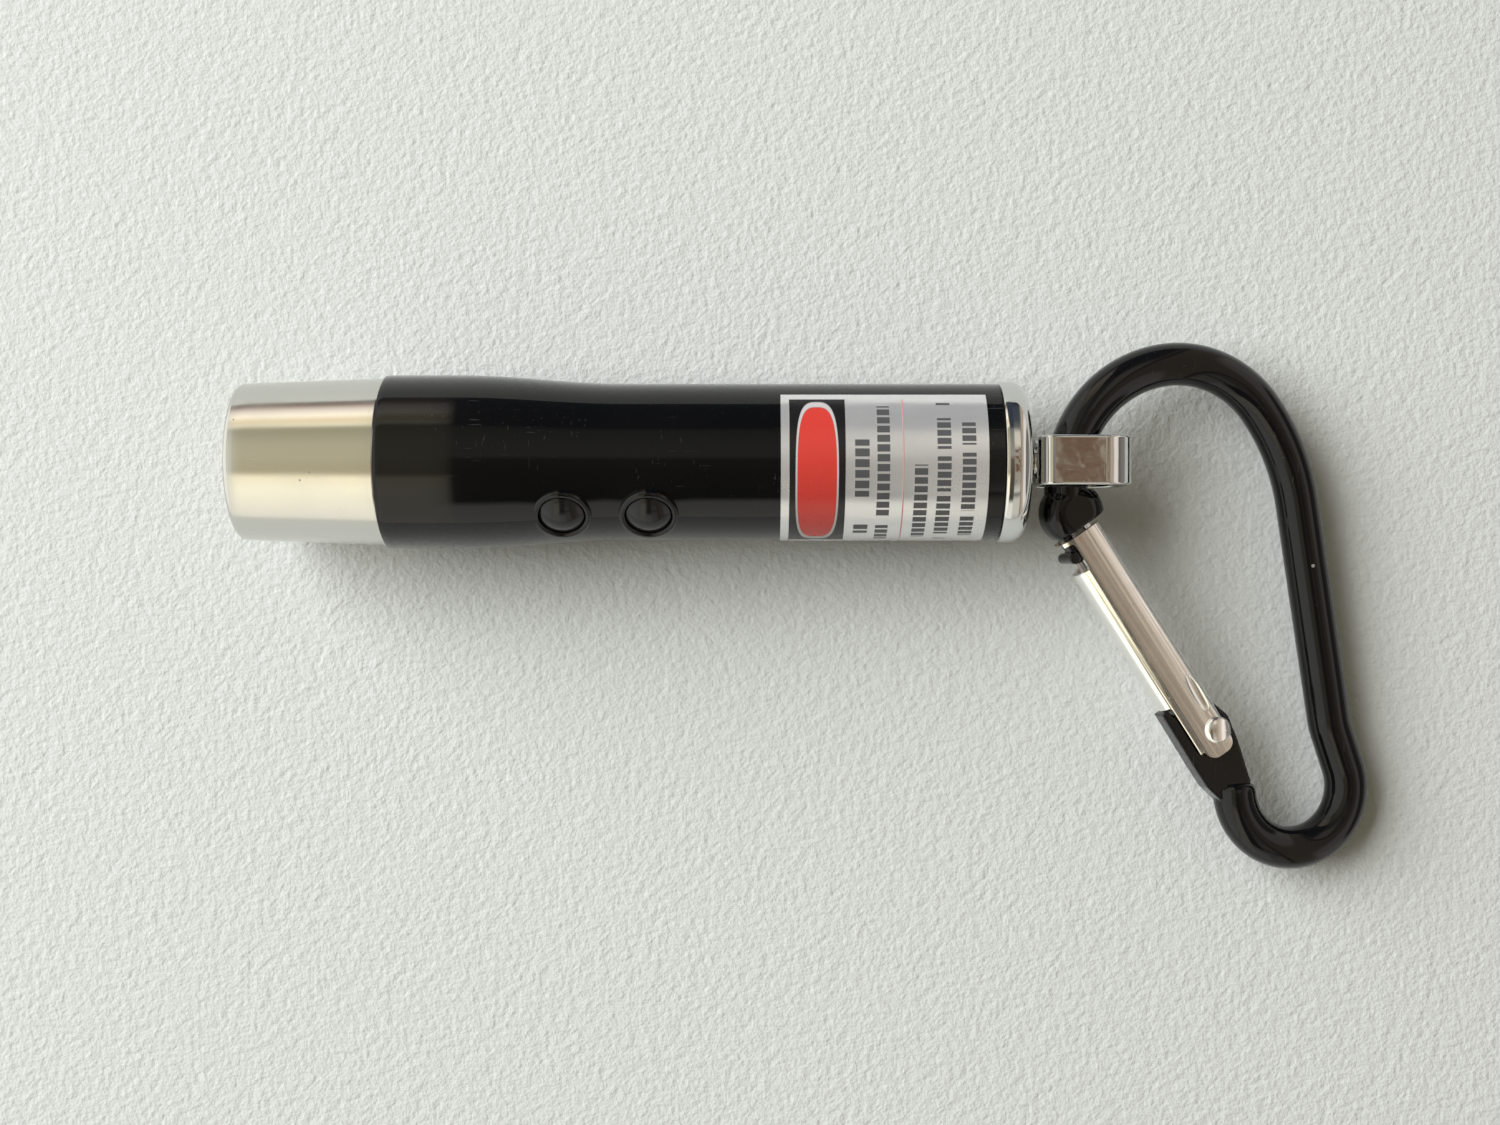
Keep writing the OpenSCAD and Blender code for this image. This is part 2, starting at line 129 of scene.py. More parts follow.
class Bench:
    """The steps of modelling that every piece shares."""

    @staticmethod
    def clear() -> None:
        """Leaves edit mode and deselects everything."""
        if bpy.context.object is not None and bpy.context.object.mode != "OBJECT":
            bpy.ops.object.mode_set(mode="OBJECT")
        bpy.ops.object.select_all(action="DESELECT")

    @staticmethod
    def pick(piece: Piece) -> Piece:
        """Makes a piece the only selected one, and the active one.

        Args:
            piece: the piece.

        Returns:
            The same piece.
        """
        Bench.clear()
        piece.select_set(True)
        bpy.context.view_layer.objects.active = piece
        return piece

    @staticmethod
    def settle(piece: Piece, place: Matrix | None = None) -> Piece:
        """Moves a piece to its place and puts that place into its mesh.

        Args:
            piece: the piece to settle.
            place: where it goes; left out, it stays where it is.

        Returns:
            The same piece, with its object at the origin.
        """
        Bench.pick(piece)
        if place is not None:
            piece.matrix_world = place @ piece.matrix_world
        bpy.ops.object.transform_apply(location=True, rotation=True, scale=True)
        return piece

    @staticmethod
    def block(low: Sequence[float], high: Sequence[float]) -> Piece:
        """A box from its lowest to its highest corner, in mm.

        Args:
            low: the lowest corner, in mm.
            high: the highest corner, in mm.

        Returns:
            The box.
        """
        Bench.clear()
        middle = [(a + b) / 2 * MM for a, b in zip(low, high)]
        bpy.ops.mesh.primitive_cube_add(size=1, location=middle)
        piece = bpy.context.object
        piece.scale = [(b - a) * MM for a, b in zip(low, high)]
        return Bench.settle(piece)

    @staticmethod
    def peg(radius: float, low: float, high: float, at: tuple[float, float] = (0, 0),
            sides: int = 48) -> Piece:
        """A plain cylinder along Z, in mm.

        Args:
            radius: the radius, in mm.
            low: its lower end.
            high: its upper end.
            at: where its axis stands.
            sides: how many faces go round.

        Returns:
            The cylinder.
        """
        Bench.clear()
        bpy.ops.mesh.primitive_cylinder_add(
            vertices=sides, radius=radius * MM, depth=(high - low) * MM,
            location=(at[0] * MM, at[1] * MM, (low + high) / 2 * MM))
        return Bench.settle(bpy.context.object)

    @staticmethod
    def select(piece: Piece, mode: str, test: Callable[[object], bool]) -> None:
        """Opens a piece in edit mode with only the parts that pass a test selected.

        Args:
            piece: the piece to open.
            mode: VERT, EDGE or FACE.
            test: is given each vertex, edge or face.
        """
        Bench.pick(piece)
        bpy.ops.object.mode_set(mode="EDIT")
        bpy.ops.mesh.select_mode(type=mode)
        bpy.ops.mesh.select_all(action="DESELECT")
        mesh = bmesh.from_edit_mesh(piece.data)
        group = {"VERT": mesh.verts, "EDGE": mesh.edges, "FACE": mesh.faces}[mode]
        for part in group:
            part.select_set(bool(test(part)))
        mesh.select_flush_mode()
        bmesh.update_edit_mesh(piece.data)

    @staticmethod
    def round_edges(piece: Piece, radius: float, steps: int, test: Callable[[Edge], bool]) -> None:
        """Rounds the edges that pass a test, with a radius in mm.

        Args:
            piece: the piece to work on.
            radius: the radius, in mm.
            steps: how many steps the curve has.
            test: is given each edge.
        """
        Bench.select(piece, "EDGE", test)
        bpy.ops.mesh.bevel(offset=radius * MM, segments=steps, affect="EDGES", clamp_overlap=False)
        bpy.ops.object.mode_set(mode="OBJECT")

    @staticmethod
    def drop_faces(piece: Piece, test: Callable[[Face], bool]) -> None:
        """Deletes the faces that pass a test.

        Args:
            piece: the piece to work on.
            test: is given each face.
        """
        Bench.select(piece, "FACE", test)
        bpy.ops.mesh.delete(type="FACE")
        bpy.ops.object.mode_set(mode="OBJECT")

    @staticmethod
    def outward(piece: Piece) -> None:
        """Merges doubles and turns every face outwards.

        Args:
            piece: the piece to work on.
        """
        Bench.pick(piece)
        bpy.ops.object.mode_set(mode="EDIT")
        bpy.ops.mesh.select_all(action="SELECT")
        bpy.ops.mesh.remove_doubles(threshold=1e-7)
        bpy.ops.mesh.normals_make_consistent(inside=False)
        bpy.ops.object.mode_set(mode="OBJECT")

    @staticmethod
    def wall(piece: Piece, thickness: float) -> None:
        """Gives a sheet its thickness in mm, inwards from its outer face.

        Args:
            piece: the piece to work on.
            thickness: the thickness, in mm.
        """
        Bench.pick(piece)
        solid = piece.modifiers.new("wall", "SOLIDIFY")
        solid.thickness = thickness * MM
        solid.offset = -1
        solid.use_even_offset = True
        bpy.ops.object.modifier_apply(modifier=solid.name)

    @staticmethod
    def work(piece: Piece, other: Piece, how: Tool = Tool.CUT) -> None:
        """Cuts a piece with another, which is used up.

        Args:
            piece: the piece to work on.
            other: the cutter.
            how: what the cutter does.
        """
        Bench.pick(piece)
        shape = piece.modifiers.new("work", "BOOLEAN")
        shape.operation = how.value
        shape.solver = "EXACT"
        shape.object = other
        bpy.ops.object.modifier_apply(modifier=shape.name)
        bpy.data.objects.remove(other, do_unlink=True)

    @staticmethod
    def soften(piece: Piece, width: float, steps: int = 2, angle: float = 35) -> None:
        """Rounds every edge that is sharper than an angle, with a width in mm.

        Args:
            piece: the piece to work on.
            width: the width, in mm.
            steps: how many steps the curve has.
            angle: edges flatter than this many degrees stay.
        """
        Bench.pick(piece)
        edge = piece.modifiers.new("soften", "BEVEL")
        edge.width = width * MM
        edge.segments = steps
        edge.limit_method = "ANGLE"
        edge.angle_limit = math.radians(angle)
        edge.use_clamp_overlap = True
        edge.harden_normals = False
        bpy.ops.object.modifier_apply(modifier=edge.name)

    @staticmethod
    def smooth(piece: Piece, angle: float = 32) -> Piece:
        """Shades a piece smooth, except at edges sharper than an angle.

        Args:
            piece: the piece to work on.
            angle: edges sharper than this many degrees stay sharp.

        Returns:
            The same piece.
        """
        Bench.pick(piece)
        bpy.ops.object.shade_smooth_by_angle(angle=math.radians(angle))
        even = piece.modifiers.new("even", "WEIGHTED_NORMAL")
        even.keep_sharp = True
        even.weight = 80
        bpy.ops.object.modifier_apply(modifier=even.name)
        return piece

    @staticmethod
    def merge(pieces: Sequence[Piece]) -> Piece:
        """Joins several pieces into the first one.

        Args:
            pieces: the pieces to join.

        Returns:
            The first piece, which now holds them all.
        """
        Bench.pick(pieces[0])
        for piece in pieces[1:]:
            piece.select_set(True)
        bpy.ops.object.join()
        return bpy.context.object

    @staticmethod
    def turned(profile: Profile, sides: int = 96, ends: Ends = Ends.BORED) -> Piece:
        """A turned piece about Z, drawn ring by ring from one circle.

        Args:
            profile: points of (height along Z, radius), in mm; a radius of 0 closes an end.
            sides: how many faces go round.
            ends: what is done with the first and last rings.

        Returns:
            The piece, with its faces outwards.
        """
        Bench.clear()
        height, radius = profile[0]
        bpy.ops.mesh.primitive_circle_add(vertices=sides, radius=radius * MM, location=(0, 0, height * MM))
        piece = Bench.settle(bpy.context.object)
        bpy.ops.object.mode_set(mode="EDIT")
        bpy.ops.mesh.select_mode(type="VERT")
        bpy.ops.mesh.select_all(action="SELECT")
        for next_height, next_radius in profile[1:]:
            rise = (0, 0, (next_height - height) * MM)
            bpy.ops.mesh.extrude_region_move(TRANSFORM_OT_translate={"value": rise})
            if next_radius == 0:
                bpy.ops.mesh.merge(type="CENTER")
                break
            grow = next_radius / radius
            bpy.ops.transform.resize(value=(grow, grow, 1), center_override=(0, 0, next_height * MM))
            height, radius = next_height, next_radius
        bpy.ops.mesh.select_all(action="DESELECT")
        bpy.ops.mesh.select_non_manifold()
        if ends is Ends.BORED:
            bpy.ops.mesh.bridge_edge_loops()
        elif ends is Ends.FILLED:
            bpy.ops.mesh.edge_face_add()
        bpy.ops.object.mode_set(mode="OBJECT")
        Bench.outward(piece)
        return piece


class BentRod:
    """A round rod swept along straights and bends in the XY plane, as a wire bender would make it."""

    def __init__(self, start: tuple[float, float], radius: float, sides: int = 44) -> None:
        """Starts the rod heading along +Y from a point, in mm.

        Args:
            start: where it starts, in mm.
            radius: the radius, in mm.
            sides: how many faces go round.
        """
        self.at = Vector((*start, 0.0))
        self.heading = Vector((0.0, 1.0, 0.0))
        Bench.clear()
        bpy.ops.mesh.primitive_circle_add(
            vertices=sides, radius=radius * MM, location=self.at * MM, rotation=(math.pi / 2, 0, 0))
        self.piece = Bench.settle(bpy.context.object)
        bpy.ops.object.mode_set(mode="EDIT")
        bpy.ops.mesh.select_mode(type="VERT")
        bpy.ops.mesh.select_all(action="SELECT")

    def straight(self, length: float) -> None:
        """Draws the rod on by a length in mm.

        Args:
            length: the length, in mm.
        """
        step = self.heading * length
        bpy.ops.mesh.extrude_region_move(TRANSFORM_OT_translate={"value": step * MM})
        self.at += step

    def bend(self, radius: float, angle: float) -> None:
        """Bends the rod round a radius in mm, to the right by a positive angle in degrees.

        Args:
            radius: the radius, in mm.
            angle: how far it bends, in degrees.
        """
        side = math.copysign(1, angle)
        centre = self.at + Vector((self.heading.y, -self.heading.x, 0)) * side * radius
        turn = Matrix.Rotation(-math.radians(angle), 3, "Z")
        steps = max(3, round(abs(angle) / 2.5))
        bpy.ops.mesh.spin(steps=steps, angle=math.radians(angle), center=centre * MM, axis=(0, 0, 1))
        self.at = centre + turn @ (self.at - centre)
        self.heading = turn @ self.heading

    def taper(self, length: float, share: float) -> None:
        """Draws the rod on and scales its end, for a rounded tip."""
        self.straight(length)
        bpy.ops.transform.resize(value=(share, share, share), center_override=self.at * MM)

    def finish(self) -> Piece:
        """Closes the end and returns the rod.

        Returns:
            The closed rod.
        """
        bpy.ops.mesh.merge(type="CENTER")
        bpy.ops.object.mode_set(mode="OBJECT")
        Bench.outward(self.piece)
        return self.piece


# ---- Finishes ----


class Wiring:
    """Adds and joins nodes in one tree."""

    def __init__(self, tree: Tree) -> None:
        """Starts work on a tree."""
        self.tree = tree

    def add(self, kind: str, inputs: dict[str | int, object] | None = None,
            **settings: object) -> Node:
        """Adds a node.

        Args:
            kind: the node's type name.
            inputs: values, or sockets to join, by the input's name or number.
            settings: the node's own properties.

        Returns:
            The new node.
        """
        node = self.tree.nodes.new(kind)
        for name, value in settings.items():
            setattr(node, name, value)
        self.fill(node, inputs or {})
        return node

    def fill(self, node: Node, inputs: dict[str | int, object]) -> None:
        """Joins sockets to a node's inputs, or sets their values.

        Args:
            node: the node to fill.
            inputs: values or sockets, by the input's name or number.
        """
        for name, value in inputs.items():
            if isinstance(value, Socket):
                self.tree.links.new(value, node.inputs[name])
            else:
                node.inputs[name].default_value = value

    def maths(self, operation: str, *values: float | Socket) -> Socket:
        """Adds a maths node on numbers or sockets and returns its result."""
        return self.add("ShaderNodeMath", dict(enumerate(values)), operation=operation).outputs[0]

    def plus(self, first: float | Socket, second: float | Socket) -> Socket:
        """Adds two values."""
        return self.maths("ADD", first, second)

    def minus(self, first: float | Socket, second: float | Socket) -> Socket:
        """Takes the second value from the first."""
        return self.maths("SUBTRACT", first, second)

    def times(self, first: float | Socket, second: float | Socket) -> Socket:
        """Multiplies two values."""
        return self.maths("MULTIPLY", first, second)

    def spread(self, value: Socket, low: float, high: float,
               to_low: float = 0.0, to_high: float = 1.0) -> Socket:
        """Maps a range of a value smoothly onto another range."""
        inputs = {0: value, 1: low, 2: high, 3: to_low, 4: to_high}
        return self.add("ShaderNodeMapRange", inputs, interpolation_type="SMOOTHSTEP").outputs[0]

    def noise(self, vector: Socket, scale: float, detail: float = 3.0, rough: float = 0.5) -> Socket:
        """Adds a noise texture and returns its value."""
        inputs = {"Vector": vector, "Scale": scale, "Detail": detail, "Roughness": rough}
        return self.add("ShaderNodeTexNoise", inputs).outputs[0]

    def stretched(self, vector: Socket, scale: tuple[float, float, float],
                  turn: tuple[float, float, float] = (0, 0, 0)) -> Socket:
        """Scales and turns a pattern's coordinates."""
        inputs = {"Vector": vector, "Scale": scale, "Rotation": turn}
        return self.add("ShaderNodeMapping", inputs).outputs[0]

    def mixed(self, share: Socket, below: Colour | Socket, above: Colour | Socket) -> Socket:
        """Mixes two colours by a share.

        Args:
            share: how much of the second colour shows.
            below: the colour at a share of 0.
            above: the colour at a share of 1.

        Returns:
            The mixed colour.
        """
        node = self.add("ShaderNodeMix", {0: share}, data_type="RGBA")
        ends = {index: value if isinstance(value, Socket) else (*value, 1)
                for index, value in ((6, below), (7, above))}
        self.fill(node, ends)
        return node.outputs[2]


class Effects:
    """The shared effects, each a node group that is built once."""

    made: dict[str, Tree] = {}

    @classmethod
    def group(cls, name: str, inputs: dict[str, float | None], output: str,
              build: Callable[[Wiring, dict[str, Socket]], Socket]) -> Tree:
        """Builds a node group, or returns the one already built.

        Args:
            name: the effect's name.
            inputs: names and default values; None is a vector.
            output: the name of the value it gives.
            build: is given the wiring and the input sockets, and returns the value.

        Returns:
            The node group.
        """
        if name in cls.made:
            return cls.made[name]
        tree = bpy.data.node_groups.new(name, "ShaderNodeTree")
        for label, value in inputs.items():
            kind = "NodeSocketVector" if value is None else "NodeSocketFloat"
            socket = tree.interface.new_socket(label, in_out="INPUT", socket_type=kind)
            if value is not None:
                socket.default_value = value
        tree.interface.new_socket(output, in_out="OUTPUT", socket_type="NodeSocketFloat")
        wiring = Wiring(tree)
        source = wiring.add("NodeGroupInput")
        target = wiring.add("NodeGroupOutput")
        value = build(wiring, {label: source.outputs[label] for label in inputs})
        tree.links.new(value, target.inputs[output])
        cls.made[name] = tree
        return tree

    @classmethod
    def specks(cls) -> Tree:
        """Dust and small pits: sparse round specks of uneven size.

        Returns:
            The node group.
        """

        def build(w: Wiring, given: dict[str, Socket]) -> Socket:
            """Keeps the middles of some cells.

            Args:
                w: the group's wiring.
                given: the group's input sockets.

            Returns:
                1 on a speck.
            """
            where = {"Vector": given["Vector"], "Scale": given["Scale"]}
            cells = w.add("ShaderNodeTexVoronoi", where, feature="F1")
            pick = w.add("ShaderNodeSeparateColor", {0: cells.outputs["Color"]})
            size = w.times(pick.outputs[1], given["Size"])
            core = w.maths("LESS_THAN", cells.outputs["Distance"], size)
            chosen = w.maths("LESS_THAN", pick.outputs[0], given["Amount"])
            return w.times(core, chosen)

        inputs = {"Vector": None, "Scale": 900.0, "Size": 0.22, "Amount": 0.1}
        return cls.group("Dust_specks", inputs, "Mask", build)

    @classmethod
    def scratches(cls) -> Tree:
        """Fine handling scratches in two crossing directions.

        Returns:
            The node group.
        """

        def build(w: Wiring, given: dict[str, Socket]) -> Socket:
            """Thresholds two stretched noises.

            Args:
                w: the group's wiring.
                given: the group's input sockets.

            Returns:
                The strength of a scratch.
            """
            found = []
            ways = (((0.3, 0.5, 0.35), (330, 5200, 5200)), ((0.9, -0.4, -0.6), (4700, 380, 4700)))
            for turn, scale in ways:
                vector = w.stretched(given["Vector"], scale, turn)
                found.append(w.spread(w.noise(vector, 1.0, 1.0), 0.70, 0.76))
            both = w.maths("MAXIMUM", found[0], found[1])
            patches = w.spread(w.noise(given["Vector"], 160.0, 2.0), 0.45, 0.62)
            return w.times(w.times(both, patches), given["Strength"])

        return cls.group("Fine_scratches", {"Vector": None, "Strength": 1.0}, "Mask", build)

    @classmethod
    def smudges(cls) -> Tree:
        """Soft uneven smudges from handling, which change the gloss.

        Returns:
            The node group.
        """

        def build(w: Wiring, given: dict[str, Socket]) -> Socket:
            """Adds two sizes of soft noise.

            Args:
                w: the group's wiring.
                given: the group's input sockets.

            Returns:
                The strength of a smudge.
            """
            large = w.noise(given["Vector"], 120.0, 2.0)
            small = w.noise(given["Vector"], 900.0, 4.0, 0.6)
            both = w.plus(w.times(large, 0.7), w.times(small, 0.3))
            return w.times(w.spread(both, 0.35, 0.68), given["Strength"])

        return cls.group("Handling_smudges", {"Vector": None, "Strength": 1.0}, "Value", build)

    @classmethod
    def ripples(cls) -> Tree:
        """The low waves of a dipped or drawn surface, long along X.

        Returns:
            The node group.
        """

        def build(w: Wiring, given: dict[str, Socket]) -> Socket:
            """Adds long waves and fine orange peel.

            Args:
                w: the group's wiring.
                given: the group's input sockets.

            Returns:
                The height.
            """
            waves = w.noise(w.stretched(given["Vector"], (28, 170, 170)), 1.0, 1.0)
            peel = w.noise(given["Vector"], 1500.0, 2.0)
            dents = w.noise(given["Vector"], 430.0, 1.5)
            both = w.plus(w.times(waves, given["Waves"]), w.times(peel, given["Peel"]))
            return w.plus(both, w.times(dents, given["Dents"]))

        inputs = {"Vector": None, "Waves": 1.0, "Peel": 0.02, "Dents": 0.0}
        return cls.group("Surface_ripples", inputs, "Height", build)

    @classmethod
    def turning_marks(cls) -> Tree:
        """Fine lines that a lathe or a die leaves, one value for each place along X.

        Returns:
            The node group.
        """

        def build(w: Wiring, given: dict[str, Socket]) -> Socket:
            """Reads noise along X only.

            Args:
                w: the group's wiring.
                given: the group's input sockets.

            Returns:
                The height.
            """
            fine = w.noise(w.stretched(given["Vector"], (9000, 6, 6)), 1.0, 3.0, 0.7)
            broad = w.noise(w.stretched(given["Vector"], (900, 40, 40)), 1.0, 2.0)
            return w.plus(w.times(fine, 0.6), w.times(broad, 0.4))

        return cls.group("Turning_marks", {"Vector": None}, "Height", build)

    @classmethod
    def bar(cls) -> Tree:
        """A printed block: 1 inside a box of label coordinates, with crisp edges.

        Returns:
            The node group.
        """

        def build(w: Wiring, given: dict[str, Socket]) -> Socket:
            """Compares the distance from the box's middle with its half size.

            Args:
                w: the group's wiring.
                given: the group's input sockets.

            Returns:
                1 inside the block.
            """
            masks = []
            for axis, low, high in (("U", "U0", "U1"), ("V", "V0", "V1")):
                above = w.spread(w.minus(given[axis], given[low]), 0.0, 0.05)
                below = w.spread(w.minus(given[high], given[axis]), 0.0, 0.05)
                masks.append(w.times(above, below))
            return w.times(masks[0], masks[1])

        inputs = {"U": 0.0, "V": 0.0, "U0": 0.0, "U1": 1.0, "V0": 0.0, "V1": 1.0}
        return cls.group("Printed_bar", inputs, "Mask", build)


@dataclass(frozen=True)
class Metal:
    """A bare or plated metal finish.

    The colour is the clean metal's and gloss is its roughness. Marks, waves, grime and dents are the
    strengths of lathe lines, low waves, smudges and small dents; specks is the share of dust.
    """

    name: str
    colour: Colour
    gloss: float
    marks: float = 0.0
    waves: float = 0.0
    grime: float = 0.1
    specks: float = 0.04
    dents: float = 0.0

    def make(self) -> Material:
        """Builds the material.

        Returns:
            The finished material.
        """
        dress = Dress(self.name)
        w = dress.wiring
        smudge = dress.smudge()
        scratch = dress.scratch()
        dirt = dress.dust(1100.0, 0.16, self.specks)
        dull = tuple(c * 0.82 for c in self.colour)
        shaded = w.mixed(w.times(smudge, self.grime), self.colour, dull)
        dress.feed("Base Color", w.mixed(w.times(dirt, 0.6), shaded, (0.05, 0.045, 0.04)))
        rough = w.plus(w.times(smudge, self.grime * 0.5), self.gloss)
        dress.feed("Roughness", w.plus(rough, w.times(scratch, 0.12)))
        dress.feed("Metallic", w.minus(1.0, w.times(dirt, 0.7)))
        lines = dress.use(Effects.turning_marks(), "Height")
        peel = 0.03 * self.waves
        wave = dress.use(Effects.ripples(), "Height", Waves=self.waves, Peel=peel, Dents=self.dents)
        height = w.plus(w.times(lines, self.marks), wave)
        dress.bump(w.plus(height, w.times(scratch, -0.02)), 0.00006)
        return dress.material


@dataclass(frozen=True)
class Lacquer:
    """A dark glossy coating with low waves, orange peel, dust and rubbed patches."""

    name: str
    colour: Colour
    gloss: float
    coat: float
    waves: float
    peel: float
    dust: float = 0.05
    coat_gloss: float = 0.03

    def make(self) -> Material:
        """Builds the material.

        Returns:
            The finished material.
        """
        dress = Dress(self.name)
        w = dress.wiring
        smudge = dress.smudge()
        scratch = dress.scratch()
        dust = dress.dust(520.0, 0.13, self.dust)
        worn = w.mixed(w.times(scratch, 0.5), self.colour, (0.05, 0.05, 0.048))
        dress.feed("Base Color", w.mixed(w.times(dust, 0.75), worn, (0.42, 0.41, 0.38)))
        rough = w.plus(w.times(smudge, 0.10), self.gloss)
        dress.feed("Roughness", w.plus(rough, w.times(dust, 0.4)))
        dress.feed("Coat Weight", w.minus(self.coat, w.times(dust, self.coat)))
        dress.shader.inputs["Coat Roughness"].default_value = self.coat_gloss
        dress.shader.inputs["Specular IOR Level"].default_value = 0.05
        dress.shader.inputs["Coat IOR"].default_value = 1.42
        wave = dress.use(Effects.ripples(), "Height", Waves=self.waves, Peel=self.peel)
        dress.bump(w.plus(wave, w.times(dust, 0.3)), 0.0001)
        return dress.material


@dataclass(frozen=True)
class Moulded:
    """A plastic, rubber, paper or board finish with fine grain and faint mottling."""

    name: str
    colour: Colour
    gloss: float
    grain: float = 0.3
    clear: float = 0.0

    def make(self) -> Material:
        """Builds the material.

        Returns:
            The finished material.
        """
        dress = Dress(self.name)
        w, place = dress.wiring, dress.place
        smudge = dress.smudge()
        handled = tuple(min(1.0, c * 0.8 + 0.01) for c in self.colour)
        dress.feed("Base Color", w.mixed(smudge, self.colour, handled))
        dress.feed("Roughness", w.plus(w.times(smudge, 0.12), self.gloss))
        fine = w.noise(place, 4200.0, 3.0)
        dress.bump(w.times(fine, self.grain), 0.00003)
        if self.clear:
            dress.shader.inputs["Transmission Weight"].default_value = self.clear
            dress.shader.inputs["IOR"].default_value = 1.5
        return dress.material


@dataclass(frozen=True)
class PrintedFoil:
    """The silver foil label: a dark panel with a red bar, rows of plain dashes and a thin red rule.

    A block is (from, to) along the tube from the label's front edge and (from, to) round the tube
    from the label's middle line, in mm.
    """

    name: str
    start: float
    radius: float
    middle: float
    panel: Block = (0.75, 6.0, -8.3, 8.3)
    rule: Block = (11.25, 11.4, -8.3, 8.3)
    rows: Sequence[Block] = (
        (6.8, 8.2, -6.4, 3.8), (8.85, 10.1, -7.9, 7.8), (12.3, 13.6, -7.3, 1.5),
        (14.4, 15.75, -7.9, 7.8), (16.7, 18.05, -6.9, 5.5))
    oval_at: float = 3.35
    oval_half: tuple[float, float] = (1.85, 7.3)

    def make(self) -> Material:
        """Builds the material.

        Returns:
            The finished material.
        """
        dress = Dress(self.name)
        w, place = dress.wiring, dress.place
        axes = w.add("ShaderNodeSeparateXYZ", {0: place})
        along = w.minus(w.times(axes.outputs[0], 1000.0), self.start)
        round_ = w.maths("ARCTAN2", axes.outputs[1], axes.outputs[2])
        across = w.times(w.minus(round_, self.middle), self.radius)

        def bar(u0: float, u1: float, v0: float, v1: float) -> Socket:
            """Places one printed block."""
            return dress.use(Effects.bar(), "Mask", U=along, V=across, U0=u0, U1=u1, V0=v0, V1=v1)

        panel = bar(*self.panel)
        wide = w.maths("DIVIDE", w.minus(along, self.oval_at), self.oval_half[0])
        tall = w.maths("DIVIDE", across, self.oval_half[1])
        reach = w.plus(*(w.maths("POWER", w.maths("ABSOLUTE", side), 3.0) for side in (wide, tall)))
        pill = w.spread(reach, 1.0, 0.9)
        rim = w.minus(w.spread(reach, 1.3, 1.2), pill)
        rule = bar(*self.rule)
        dashes = None
        for index, (u0, u1, v0, v1) in enumerate(self.rows):
            pitch = w.maths("FRACT", w.plus(w.times(across, 1.02 + 0.09 * index), 0.31 * index + 20))
            blocks = w.spread(pitch, 0.20, 0.27)
            size = 420 + 50 * index
            words = w.spread(w.noise(w.stretched(place, (0.01, size, size)), 1.0, 0.0), 0.40, 0.41)
            row = w.times(bar(u0, u1, v0, v1), w.times(blocks, words))
            dashes = row if dashes is None else w.maths("MAXIMUM", dashes, row)
        drawn = w.noise(w.stretched(place, (60, 900, 900)), 1.0, 2.0)
        foil = w.mixed(drawn, (0.80, 0.80, 0.82), (0.90, 0.89, 0.89))
        inked = w.mixed(panel, foil, (0.012, 0.012, 0.013))
        inked = w.mixed(w.times(rim, panel), inked, (0.62, 0.60, 0.60))
        inked = w.mixed(w.times(pill, panel), inked, (0.72, 0.06, 0.045))
        inked = w.mixed(w.times(rule, 0.75), inked, (0.65, 0.05, 0.03))
        inked = w.mixed(w.times(dashes, 0.93), inked, (0.045, 0.045, 0.05))
        dress.feed("Base Color", inked)
        ink = w.maths("MAXIMUM", w.maths("MAXIMUM", panel, rule), dashes)
        dress.feed("Metallic", w.spread(ink, 0.0, 1.0, 0.62, 0.0))
        smudge = dress.smudge()
        dress.feed("Roughness", w.plus(w.times(smudge, 0.08), w.spread(ink, 0.0, 1.0, 0.20, 0.22)))
        cockle = w.noise(w.stretched(place, (260, 420, 420)), 1.0, 2.0)
        dress.bump(w.plus(w.times(cockle, 0.5), w.times(ink, 0.1)), 0.00006)
        return dress.material


class Dress:
    """One material being made: its shader, its place on the object, and its wiring."""

    def __init__(self, name: str) -> None:
        """Starts a material with a Principled shader on object coordinates.

        Args:
            name: the material's name.
        """
        self.material = bpy.data.materials.new(name)
        self.material.use_nodes = True
        tree = self.material.node_tree
        self.wiring = Wiring(tree)
        self.shader = tree.nodes["Principled BSDF"]
        self.place = self.wiring.add("ShaderNodeTexCoord").outputs["Object"]

    def use(self, effect: Tree, output: str, **values: float | Socket) -> Socket:
        """Places a shared effect on the object's coordinates.

        Args:
            effect: the effect's node group.
            output: the name of the value it gives.
            values: the group's other inputs, by name.

        Returns:
            The value.
        """
        node = self.wiring.add("ShaderNodeGroup", node_tree=effect)
        if "Vector" in node.inputs:
            values["Vector"] = self.place
        self.wiring.fill(node, values)
        return node.outputs[output]

    def smudge(self) -> Socket:
        """Places handling smudges."""
        return self.use(Effects.smudges(), "Value", Strength=1.0)

    def scratch(self) -> Socket:
        """Places fine scratches."""
        return self.use(Effects.scratches(), "Mask", Strength=1.0)

    def dust(self, scale: float, size: float, amount: float) -> Socket:
        """Places dust specks: their cells in a metre, their size and the share of cells with one."""
        return self.use(Effects.specks(), "Mask", Scale=scale, Size=size, Amount=amount)

    def feed(self, socket: str, value: Socket) -> None:
        """Feeds one of the shader's inputs."""
        self.wiring.tree.links.new(value, self.shader.inputs[socket])

    def bump(self, height: Socket, depth: float) -> None:
        """Feeds the shader's normal from a height, with its depth in metres."""
        node = self.wiring.add("ShaderNodeBump", {"Height": height, "Distance": depth, "Strength": 1.0})
        self.feed("Normal", node.outputs[0])


